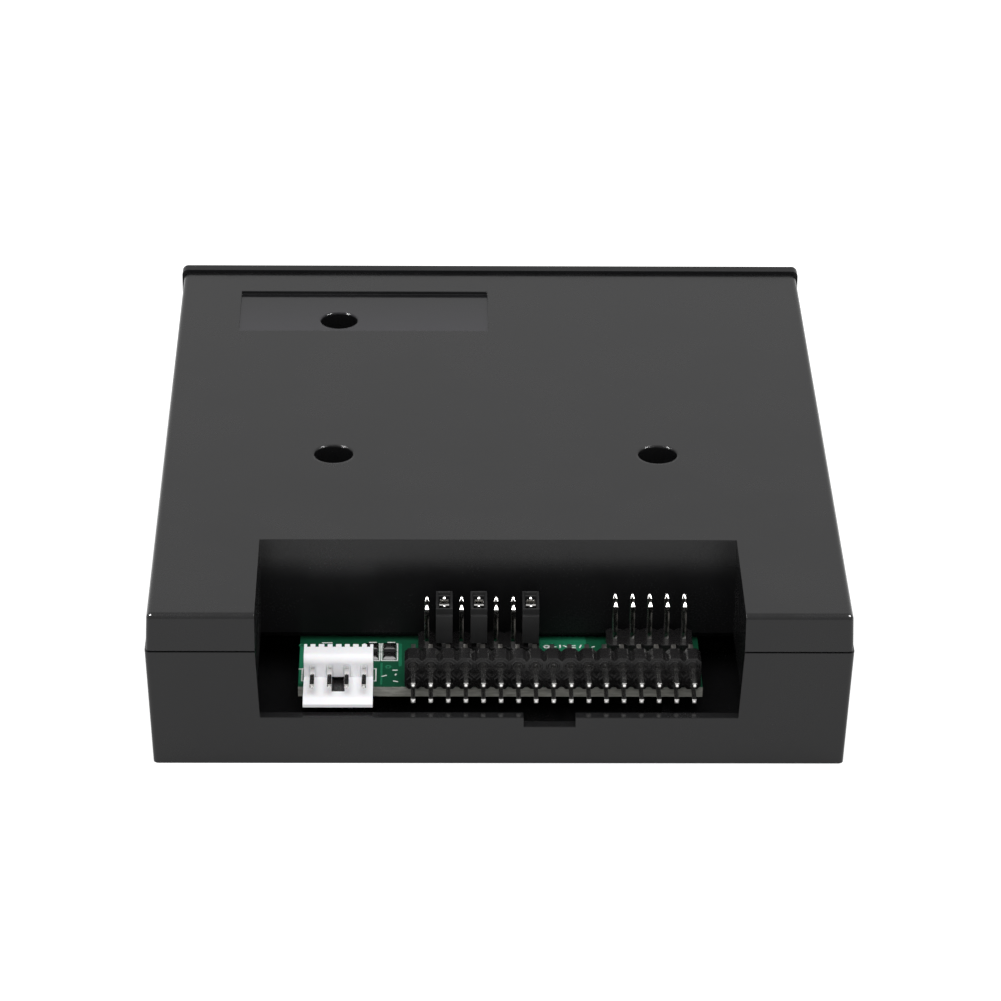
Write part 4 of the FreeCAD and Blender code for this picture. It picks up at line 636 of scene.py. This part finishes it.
def make_data_pins():
    """Two rows of pins. The upper row's legs stand nearer the front than the lower row's, and the
    lower row ends a little nearer the rear."""
    upper_reach, upper_bend = 0.25, 1.4
    lower_reach, lower_bend = 0.45, 1.0
    low, high = extent("data_header_pins")
    half = PIN_SIDE / 2
    x = high.x - half
    upper = bent_pin(x, low.y + half, low.z, high.z - half, high.y + upper_reach, upper_bend)
    lower = bent_pin(x, low.y + half + PITCH, low.z, high.z - half - PITCH, high.y + lower_reach,
                     lower_bend)
    pins = join("data_pins", [upper, lower])
    repeat(pins, DATA_COLUMNS, -PITCH)
    settle(pins, "data_header_pins", "cut_pin_metal_painted_light", smooth=35)


def make_power_pins():
    """The power connector's four bent pins, which end inside its housing."""
    inset, bend = 1.6, 0.55
    low, high = extent("power_connector_pins")
    half = PIN_SIDE / 2
    pins = bent_pin(high.x - half, low.y + half, low.z, high.z - half, high.y - inset, bend)
    pins.name = "power_pins"
    repeat(pins, POWER_WAYS, -POWER_PITCH)
    settle(pins, "power_connector_pins", smooth=35)


def make_upright_pins(name, columns):
    """Two rows of straight pins."""
    low, high = extent(name)
    half = PIN_SIDE / 2
    near = upright_pin(high.x - half, high.y - half, low.z, high.z)
    far = upright_pin(high.x - half, low.y + half, low.z, high.z)
    pins = join(name.replace("_header", ""), [near, far])
    repeat(pins, columns, -PITCH)
    settle(pins, name, smooth=10)


# Jumper caps

def make_cap(number):
    """A moulded cap with a ledge, lips round its mouth, the rear one lower, and an open foot."""
    ledge_drop, ledge_step, lean = 1.5, 0.25, 0.2
    lip, mouth_depth, shelf, lip_drop = 0.26, 0.6, 0.12, 0.34
    low, high = extent(f"jumper_cap_{number}")
    x = (low.x + high.x) / 2
    y = (low.y + high.y) / 2
    ledge_z = high.z - ledge_drop
    cap = block(f"jumper_cap_form_{number}", low, (high.x, high.y, ledge_z))
    pick(cap, "FACE", lambda place, way: way.z > 0.9)
    half = high.y - y
    grow((0, 0, 0), (1, 1 - ledge_step / half, 1), (x, y, ledge_z))
    grow((0, 0, high.z - ledge_z), (1, 1 + lean / half, 1), (x, y, high.z))
    bpy.ops.mesh.inset(thickness=lip * MM)
    grow((0, 0, -mouth_depth), (0.96, 0.97, 1), (x, y, high.z - mouth_depth))
    bpy.ops.mesh.inset(thickness=shelf * MM)
    grow((0, 0, low.z - high.z + mouth_depth))
    put_down()
    pick(cap, "FACE", lambda place, way: way.z > 0.9 and place.z > high.z - 0.01
         and place.y > y + 1)
    bpy.ops.transform.translate(value=(0, 0, -lip_drop * MM))
    put_down()
    pick(cap, "FACE", lambda place, way: abs(place.z - low.z) < 0.01 and abs(way.z) > 0.9)
    bpy.ops.mesh.delete(type="FACE")
    put_down()
    pick(cap, "EDGE", lambda place, way: abs(place.z - low.z) < 0.01 and abs(way.z) < 0.1)
    bpy.ops.mesh.bridge_edge_loops()
    outward()
    soften(cap, 0.07)
    settle(cap, f"jumper_cap_{number}", "cap_plastic", smooth=5)


def make_clip(number):
    """The folded contact: a bridge with rounded shoulders, a leaf down each side and a dimple."""
    shoulder, rim, dimple, sheet = 0.24, 0.1, 1.3, 0.22
    low, high = extent(f"jumper_clip_{number}")
    clip = block(f"jumper_contact_{number}", low, high)
    pick(clip, "FACE", lambda place, way: way.z < -0.9 or abs(way.x) > 0.9)
    bpy.ops.mesh.delete(type="FACE")
    put_down()
    pick(clip, "EDGE", lambda place, way: place.z > high.z - 0.01 and abs(way.x) > 0.9)
    bpy.ops.mesh.bevel(offset=shoulder * MM, segments=4)
    put_down()
    pick(clip, "FACE", lambda place, way: way.z > 0.99)
    bpy.ops.mesh.inset(thickness=rim * MM)
    grow((0, 0, -dimple), (0.9, 0.8, 1),
         ((low.x + high.x) / 2, (low.y + high.y) / 2, high.z - dimple))
    put_down()
    treat(clip, "SOLIDIFY", thickness=sheet * MM, offset=-1)
    soften(clip, 0.03, 1)
    settle(clip, f"jumper_clip_{number}")


# Header housings and power connector

POWER_BROW = (50.8, 1.15)
POWER_PLATE = 1.8
RIM_PROFILE = ((0.1, 1.08), (-0.02, 1.08), (-0.14, 0.96), (-0.14, 0.84), (0.02, 0.64))


def make_power_inserts():
    """A dark block in the connector's window, as painted shade, and the thin walls that its pins
    come through.
    """
    shade_block_half, shade_block_near, shade_block_far, shade_block_foot, shade_block_face = 0.93, 0.3, 3.02, 0.95, 0.42
    groove_rim, groove = 0.22, 0.2
    low, high = extent("power_connector_housing")
    x = (low.x + high.x) / 2
    plate_top = low.z + POWER_PLATE
    # Painted shade: a dark block fills the window, where the board beneath lies in shadow
    key = block("power_key", (x - shade_block_half, low.y + shade_block_near, plate_top - shade_block_foot),
                (x + shade_block_half, high.y - shade_block_far, plate_top - shade_block_face))
    pick(key, "FACE", lambda place, way: way.z > 0.9)
    bpy.ops.mesh.inset(thickness=groove_rim * MM)
    grow((0, 0, -groove), (0.94, 0.97, 1),
         (x, (low.y + high.y) / 2, plate_top - shade_block_face - groove))
    put_down()
    soften(key, 0.05)
    settle(key, "power_connector_housing", "header_plastic", hides=False, smooth=5)
    wall_half, wall_near, wall_far = 0.47, 0.3, 0.31
    wall_foot, wall_top, wall_round = 0.02, 1.97, 0.24
    arch_y = low.y + 3.9
    wall_y = arch_y - 0.35
    first_x = x + 1.5 * POWER_PITCH
    wall = block("power_walls", (first_x - wall_half, wall_y - wall_near, plate_top + wall_foot),
                 (first_x + wall_half, wall_y + wall_far, plate_top + wall_top))
    pick(wall, "EDGE", lambda place, way: place.z > plate_top + 1.9 and abs(way.y) > 0.9)
    bpy.ops.mesh.bevel(offset=wall_round * MM, segments=3)
    put_down()
    soften(wall, 0.05, 3)
    repeat(wall, POWER_WAYS, -POWER_PITCH)
    settle(wall, "power_connector_housing", hides=False)


def far_edge_slots():
    """The cutter for the power connector's top edge on the bezel's side: two slots for each pin."""
    aside, half, run, depth, over = 0.6, 0.23, 0.8, 1.3, 0.2
    low, high = extent("power_connector_housing")
    first = extent("power_connector_pins")[1].x - PIN_SIDE / 2
    slots = []
    for x in (first - aside, first + aside):
        slots.append(block("slot", (x - half, low.y - over, high.z - depth),
                           (x + half, low.y + run, high.z + over)))
    slots = join("slots", slots)
    repeat(slots, POWER_WAYS, -POWER_PITCH)
    return slots


def make_cell_rims():
    """A raised eight-sided rim around each pin, on the rear face of the 2 x 17 header's housing."""
    pins = extent("data_header_pins")[1]
    rear = extent("data_header_housing")[1].y + HEADER_REACH
    rims = []
    for drop in (0, PITCH):
        centre = (pins.x - PIN_SIDE / 2, rear, pins.z - PIN_SIDE / 2 - drop)
        rims.append(turned("cell_rim", centre, RIM_PROFILE, 8, "Y", 22.5))
    rims = join("cell_rims", rims)
    repeat(rims, DATA_COLUMNS, -PITCH)
    settle(rims, "data_header_housing", hides=False, smooth=5)


def make_bay_skirt():
    """The strip that closes the gap between the bay's back wall and the board."""
    half, near, far, foot, rise, rim, step = 34.9, 34.85, 35.25, 0.02, 1.44, 0.12, 0.08
    board_top = extent("circuit_board")[1].z
    skirt = block("bay_skirt", (-half, near, board_top + foot), (half, far, board_top + rise))
    pick(skirt, "FACE", lambda place, way: way.y > 0.9)
    bpy.ops.mesh.inset(thickness=rim * MM)
    grow((0, step, 0))
    put_down()
    soften(skirt, 0.04)
    settle(skirt, "upper_shell", hides=False)


# Marks, pads and links on the board

INK = 0.04
FRAME_LINE = 0.18
STROKE_WIDTH = 0.24

# Printed strokes, each its X, Y, length and turn
STROKES = (
    (16.7, 47.3, 0.9, 25), (15.1, 45.6, 0.8, 0), (15.0, 48.9, 0.8, -20), (15.0, 46.9, 0.5, 70),
    (18.4, 37.25, 1.2, 0), (15.7, 37.25, 1.2, 0), (-8.6, 38.5, 0.4, 0), (-9.3, 38.4, 1.0, 90),
    (-10.1, 38.4, 0.9, -40), (-11.3, 38.2, 0.7, 0), (-11.3, 38.8, 0.7, 0), (-12.3, 38.4, 1.0, 75),
    (-14.2, 38.5, 0.6, 30), (25.2, 37.4, 1.6, 0), (29.0, 45.3, 0.5, 0),
)
RING_PLACE = (-7.3, 38.5)
RING = ((0, 0.5), (INK, 0.5), (INK, 0.22), (0.0, 0.22))

# Tracks, each its X, its two ends on Y and its width, and through holes, each its X and Y
TRACKS = (
    (28.9, 38.2, 49.6, 0.6), (17.1, 43.4, 49.8, 0.35), (14.35, 37.6, 44.4, 0.5),
    (-9.75, 35.35, 46.2, 6.9), (-28.9, 43.0, 49.9, 0.5),
)
TRACK_RISE = 0.02
THROUGH_HOLES = ((28.9, 38.2), (16.1, 44.6))
THROUGH_HOLE = ((0, 0.5), (0.05, 0.48), (0.05, 0.26), (0.005, 0.2))
COLLAR = ((0, 0.88), (0.04, 0.85), (0.16, 0.62), (0.36, 0.46), (0.5, 0.36))


def silk_frame(name, low, high, line):
    """A printed outline, standing a hair above the board."""
    top = extent("circuit_board")[1].z
    bpy.ops.object.select_all(action="DESELECT")
    centre = Vector(((low[0] + high[0]) / 2, (low[1] + high[1]) / 2, top))
    bpy.ops.mesh.primitive_plane_add(size=1, location=centre * MM)
    bpy.context.object.scale = ((high[0] - low[0]) * MM, (high[1] - low[1]) * MM, 1)
    printed = begin(name)
    bpy.ops.object.mode_set(mode="EDIT")
    bpy.ops.mesh.select_mode(type="FACE")
    bpy.ops.mesh.select_all(action="SELECT")
    bpy.ops.mesh.inset(thickness=line * MM)
    bpy.ops.mesh.delete(type="FACE")
    put_down()
    treat(printed, "SOLIDIFY", thickness=INK * MM, offset=1)
    return printed


def silk_dash(x, y, length, width, turn=0.0):
    """A short printed stroke with rounded ends."""
    top = extent("circuit_board")[1].z
    dash = block("silk_dash", (-length / 2, -width / 2, 0), (length / 2, width / 2, INK))
    pick(dash, "EDGE", lambda place, way: abs(way.z) > 0.9)
    bpy.ops.mesh.bevel(offset=width * 0.4 * MM, segments=2)
    put_down()
    dash.rotation_euler = (0, 0, math.radians(turn))
    dash.location = Vector((x, y, top)) * MM
    take(dash)
    bpy.ops.object.transform_apply(location=True, rotation=True, scale=True)
    return dash


def make_links():
    """Two links beside the power connector: domed, tinned ends with a dark bar between them."""
    width, reach, foot = 2.0, 1.05, 0.14
    shoulder, crown, crown_drop = 0.2, 0.14, 0.02
    bar_inset, bar_end, bar_drop = 0.1, 2.0, 0.12
    low, high = extent("link_resistors")
    ends = []
    bars = []
    for x in (low.x + width / 2, high.x - width / 2):
        for y in (low.y + reach, high.y - reach):
            end = block("link_end", (x - width / 2, y - reach, low.z),
                        (x + width / 2, y + reach, low.z + foot))
            pick(end, "FACE", lambda place, way: way.z > 0.9)
            grow((0, 0, shoulder), (0.86, 0.84, 1), (x, y, low.z + foot + shoulder))
            grow((0, 0, crown), (0.62, 0.6, 1), (x, y, high.z - crown_drop))
            outward()
            soften(end, 0.12, 3, 15)
            ends.append(end)
        bar = block("link_bar", (x - width / 2 + bar_inset, low.y + bar_end, low.z),
                    (x + width / 2 - bar_inset, high.y - bar_end, high.z - bar_drop))
        soften(bar, 0.06)
        bars.append(bar)
    tinned = join("link_ends", ends)
    settle(tinned, "link_resistors", "solder")
    settle(join("link_bars", bars), "link_resistors")


def make_silk():
    """Plain outlines and strokes printed on the part of the board that shows."""
    gap, half_width, overlap = 0.22, 1.26, 0.09
    low, high = extent("link_resistors")
    middle = (low.y + high.y) / 2
    frames = []
    for x in (low.x + 1, high.x - 1):
        for near, far in ((low.y - gap, middle + overlap), (middle - overlap, high.y + gap)):
            frames.append(silk_frame("link_outline", (x - half_width, near), (x + half_width, far),
                                     FRAME_LINE))
    aside, before, behind, line = 0.45, 1.8, 2.0, 0.2
    low, high = extent("power_connector_housing")
    frames.append(silk_frame("power_outline", (low.x - aside, low.y - before),
                             (high.x + aside, low.y + behind), line))
    for x, y, length, turn in STROKES:
        frames.append(silk_dash(x, y, length, STROKE_WIDTH, turn))
    frames.append(turned("silk_ring", (*RING_PLACE, extent("circuit_board")[1].z), RING, 20))
    settle(join("board_print", frames), "circuit_board", "silk_ink", hides=False)


def make_solder():
    """Solder collars round the legs that show on the upper side of the board."""
    top = extent("circuit_board")[1].z
    low, high = extent("data_header_pins")
    half = PIN_SIDE / 2
    sides = 14
    collars = []
    for row in (0, PITCH):
        collars.append(turned("collar", (high.x - half, low.y + half + row, top), COLLAR, sides))
    data = join("data_solder", collars)
    repeat(data, DATA_COLUMNS, -PITCH)
    low, high = extent("power_connector_pins")
    power = turned("power_solder", (high.x - half, low.y + half, top), COLLAR, sides)
    repeat(power, POWER_WAYS, -POWER_PITCH)
    collars = join("solder_collars", [data, power])
    settle(collars, "circuit_board", "solder", hides=False)


def make_tracks():
    """Copper tracks and through holes under the green mask, where the board shows at the rear."""
    top = extent("circuit_board")[1].z
    tracks = []
    for x, near, far, width in TRACKS:
        track = block("track", (x - width / 2, near, top), (x + width / 2, far, top + TRACK_RISE))
        pick(track, "EDGE", lambda place, way: abs(way.z) > 0.9)
        bpy.ops.mesh.bevel(offset=min(width * 0.4, 0.8) * MM, segments=3)
        put_down()
        tracks.append(track)
    for x, y in THROUGH_HOLES:
        tracks.append(turned("through_hole", (x, y, top), THROUGH_HOLE, 16))
    settle(join("board_tracks", tracks), "circuit_board", "track_mask", hides=False)


# Front pieces

# Turned profiles, each ring a height and a radius. BUTTON_FACE is measured back from the button's
# face, and CAN_LID down from the can's upper end
BUTTON_FOOT = (3.3, 2.0)
BUTTON_FACE = ((0.4, 2.0), (0.22, 1.95), (0.08, 1.84), (0, 1.66), (0, 1.5), (0.08, 1.3),
               (0.16, 0.9), (0.19, 0.3))
LENS = ((0, 1.5), (3.7, 1.5), (4.2, 1.43), (4.6, 1.24), (4.9, 0.96), (5.1, 0.6))
LENS_NOSE = 0.2
CAN_SIDE = ((0.75, 3.05), (0.9, 3.15), (1.2, 3.15), (1.35, 2.95), (1.6, 2.95), (1.75, 3.15))
CAN_LID = ((0.3, 3.15), (0.1, 3.08), (0, 2.9), (0, 2.7), (0.12, 2.6), (0.12, 0.5))


def make_button(key, node_name):
    """A round button with a dished face, a flange behind the bezel and a square stem."""
    stem_half, stem_length, flange_front, flange_back = 1.5, 2.6, 3.35, 2.55
    low, high = extent(node_name)
    centre = Vector(((low.x + high.x) / 2, high.y, (low.z + high.z) / 2))
    face = high.y - low.y
    stem = block("stem", (centre.x - stem_half, high.y - stem_length, centre.z - stem_half),
                 (centre.x + stem_half, high.y, centre.z + stem_half))
    flange = block("flange", (low.x, high.y - flange_front, low.z),
                   (high.x, high.y - flange_back, high.z))
    for square in (stem, flange):
        soften(square, 0.15, 3)
    rings = [(face - depth, radius) for depth, radius in BUTTON_FACE]
    cap = turned("cap", centre, (BUTTON_FOOT, *rings), 48, "Y")
    button = join(f"{key}_button_form", [cap, flange, stem])
    settle(button, node_name)


def make_status_light():
    """A round-nosed lens."""
    low, high = extent("status_light")
    centre = Vector(((low.x + high.x) / 2, high.y, (low.z + high.z) / 2))
    lens = turned("status_lens", centre, (*LENS, (high.y - low.y, LENS_NOSE)), 40, "Y")
    settle(lens, "status_light")


def make_cans():
    """Two electrolytic cans: a black base, a crimped groove, a rolled rim, a lid with a mark."""
    half, base_height, base_corner = 3.3, 0.8, 1.0
    mark_left, mark_right, mark_half, mark_foot, mark_face = -2.5, -1.2, 1.6, 0.13, 0.1
    low, high = extent("electrolytic_capacitors")
    cans = []
    bases = []
    marks = []
    for x in (low.x + half, high.x - half):
        centre = Vector((x, (low.y + high.y) / 2, low.z))
        top = high.z - low.z
        lid = [(top - depth, radius) for depth, radius in CAN_LID]
        cans.append(turned("can", centre, (*CAN_SIDE, *lid), 48))
        base = block("can_base", centre - Vector((half, half, 0)),
                     centre + Vector((half, half, base_height)))
        pick(base, "EDGE", lambda place, way: abs(way.z) > 0.9 and place.x > x)
        bpy.ops.mesh.bevel(offset=base_corner * MM, segments=1)
        put_down()
        soften(base, 0.08)
        bases.append(base)
        mark = block("can_mark", centre + Vector((mark_left, -mark_half, top - mark_foot)),
                     centre + Vector((mark_right, mark_half, top - mark_face)))
        soften(mark, 0.01, 1)
        marks.append(mark)
    settle(join("capacitor_cans", cans), "electrolytic_capacitors")
    for name, parts in (("capacitor_bases", bases), ("capacitor_marks", marks)):
        dark = join(name, parts)
        settle(dark, "electrolytic_capacitors", "chip_plastic")


make_data_pins()
make_power_pins()
make_upright_pins("select_header_pins", SELECT_COLUMNS)
make_upright_pins("service_header_pins", SERVICE_COLUMNS)
for jumper in (1, 2, 3):
    make_cap(jumper)
    make_clip(jumper)
softened_copy("data_header_housing", 0.09, rear=HEADER_REACH)
make_cell_rims()
softened_copy("select_header_base", 0.09)
softened_copy("service_header_base", 0.09)
softened_copy("power_connector_housing", 0.1, 3, brow=POWER_BROW, cutter=far_edge_slots())
make_power_inserts()
make_bay_skirt()
make_links()
make_silk()
make_solder()
make_tracks()
make_button("up", "up_button")
make_button("down", "down_button")
make_status_light()
make_cans()


# Floor, light and camera, in metres and degrees

CAMERA_PLACE = (0.01116, 0.62975, 0.33827)
CAMERA_TURN = (62.609, -0.558, 179.185)
CAMERA_LENS = 164.43


def glow_seen(tree, by_camera, by_gloss):
    """A brightness for rays from the camera, and another for reflected rays and through lenses."""
    path = node(tree, "ShaderNodeLightPath")
    other = combine(tree, "MAXIMUM", path.outputs["Is Glossy Ray"],
                    path.outputs["Is Transmission Ray"])
    other = combine(tree, "MULTIPLY", other, by_gloss)
    direct = combine(tree, "MULTIPLY", path.outputs["Is Camera Ray"], by_camera)
    return combine(tree, "ADD", direct, other)


def make_floor():
    """A pale sheet of paper just under the case, white to the camera, that keeps the shadow."""
    bpy.ops.mesh.primitive_plane_add(size=6, location=(0, 0, -0.05 * MM))
    floor = bpy.context.object
    floor.name = "floor"
    material, tree, shader = new_finish("floor_paper")
    shader.inputs["Base Color"].default_value = (0.55, 0.55, 0.55, 1)
    shader.inputs["Roughness"].default_value = 1.0
    shader.inputs["Specular IOR Level"].default_value = 0.0
    shader.inputs["Emission Color"].default_value = (1, 1, 1, 1)
    tree.links.new(glow_seen(tree, 0.75, 0.4), shader.inputs["Emission Strength"])
    floor.data.materials.append(material)


def make_world():
    """An even white studio."""
    world = bpy.data.worlds.new("studio")
    bpy.context.scene.world = world
    world.use_nodes = True
    tree = world.node_tree
    back = tree.nodes["Background"]
    back.inputs["Color"].default_value = (1, 1, 1, 1)
    tree.links.new(combine(tree, "ADD", glow_seen(tree, 0.4, 0.0), 0.6), back.inputs["Strength"])


def add_lamp(name, place, aim, size, power, seen_on=()):
    """A soft rectangular lamp that lights the object, or only glints on the pieces named."""
    bpy.ops.object.light_add(type="AREA", location=place)
    lamp = bpy.context.object
    lamp.name = name
    lamp.data.shape = "RECTANGLE"
    lamp.data.size, lamp.data.size_y = size
    lamp.data.energy = power
    lamp.rotation_euler = (Vector(aim) - Vector(place)).to_track_quat("-Z", "Y").to_euler()
    lamp.visible_glossy = bool(seen_on)
    lamp.visible_diffuse = not seen_on
    lamp.visible_camera = False
    if seen_on:
        lit = bpy.data.collections.new(f"lit_by_{name}")
        for piece in seen_on:
            lit.objects.link(piece)
        lamp.light_linking.receiver_collection = lit


def add_lamps():
    """One large lamp for the whole object. The others are only seen as glints: a card behind, on
    the ends of the header pins, and one at each side, on the lid's rims and corners."""
    add_lamp("overhead_softbox", (0, 0.3, 0.9), (0, 0, 0), (0.9, 0.9), 6.0)
    finishes = (FINISHES["pin_metal"], FINISHES["cut_pin_metal_painted_light"])
    bright_pins = [piece for piece in bpy.data.objects
                   if piece.active_material in finishes and piece.name != "power_pins"]
    add_lamp("rear_card", (0, 1.5, 0.2), (0, 0, 0), (1.6, 0.2), 8.0, bright_pins)
    for side in (-1, 1):
        add_lamp("side_softbox", (0.6 * side, 0.13, 0.77), (0, 0, 0), (0.22, 0.22), 20.0,
                 [nodes["upper_shell"]])


def make_camera():
    """The photograph's own viewpoint, solved from the headers' pitch and the case's outline."""
    bpy.ops.object.camera_add(location=CAMERA_PLACE)
    camera = bpy.context.object
    camera.rotation_euler = [math.radians(angle) for angle in CAMERA_TURN]
    camera.data.lens = CAMERA_LENS
    camera.data.sensor_width = 36
    bpy.context.scene.camera = camera


make_floor()
make_world()
add_lamps()
make_camera()
bpy.context.scene.view_settings.view_transform = "Standard"
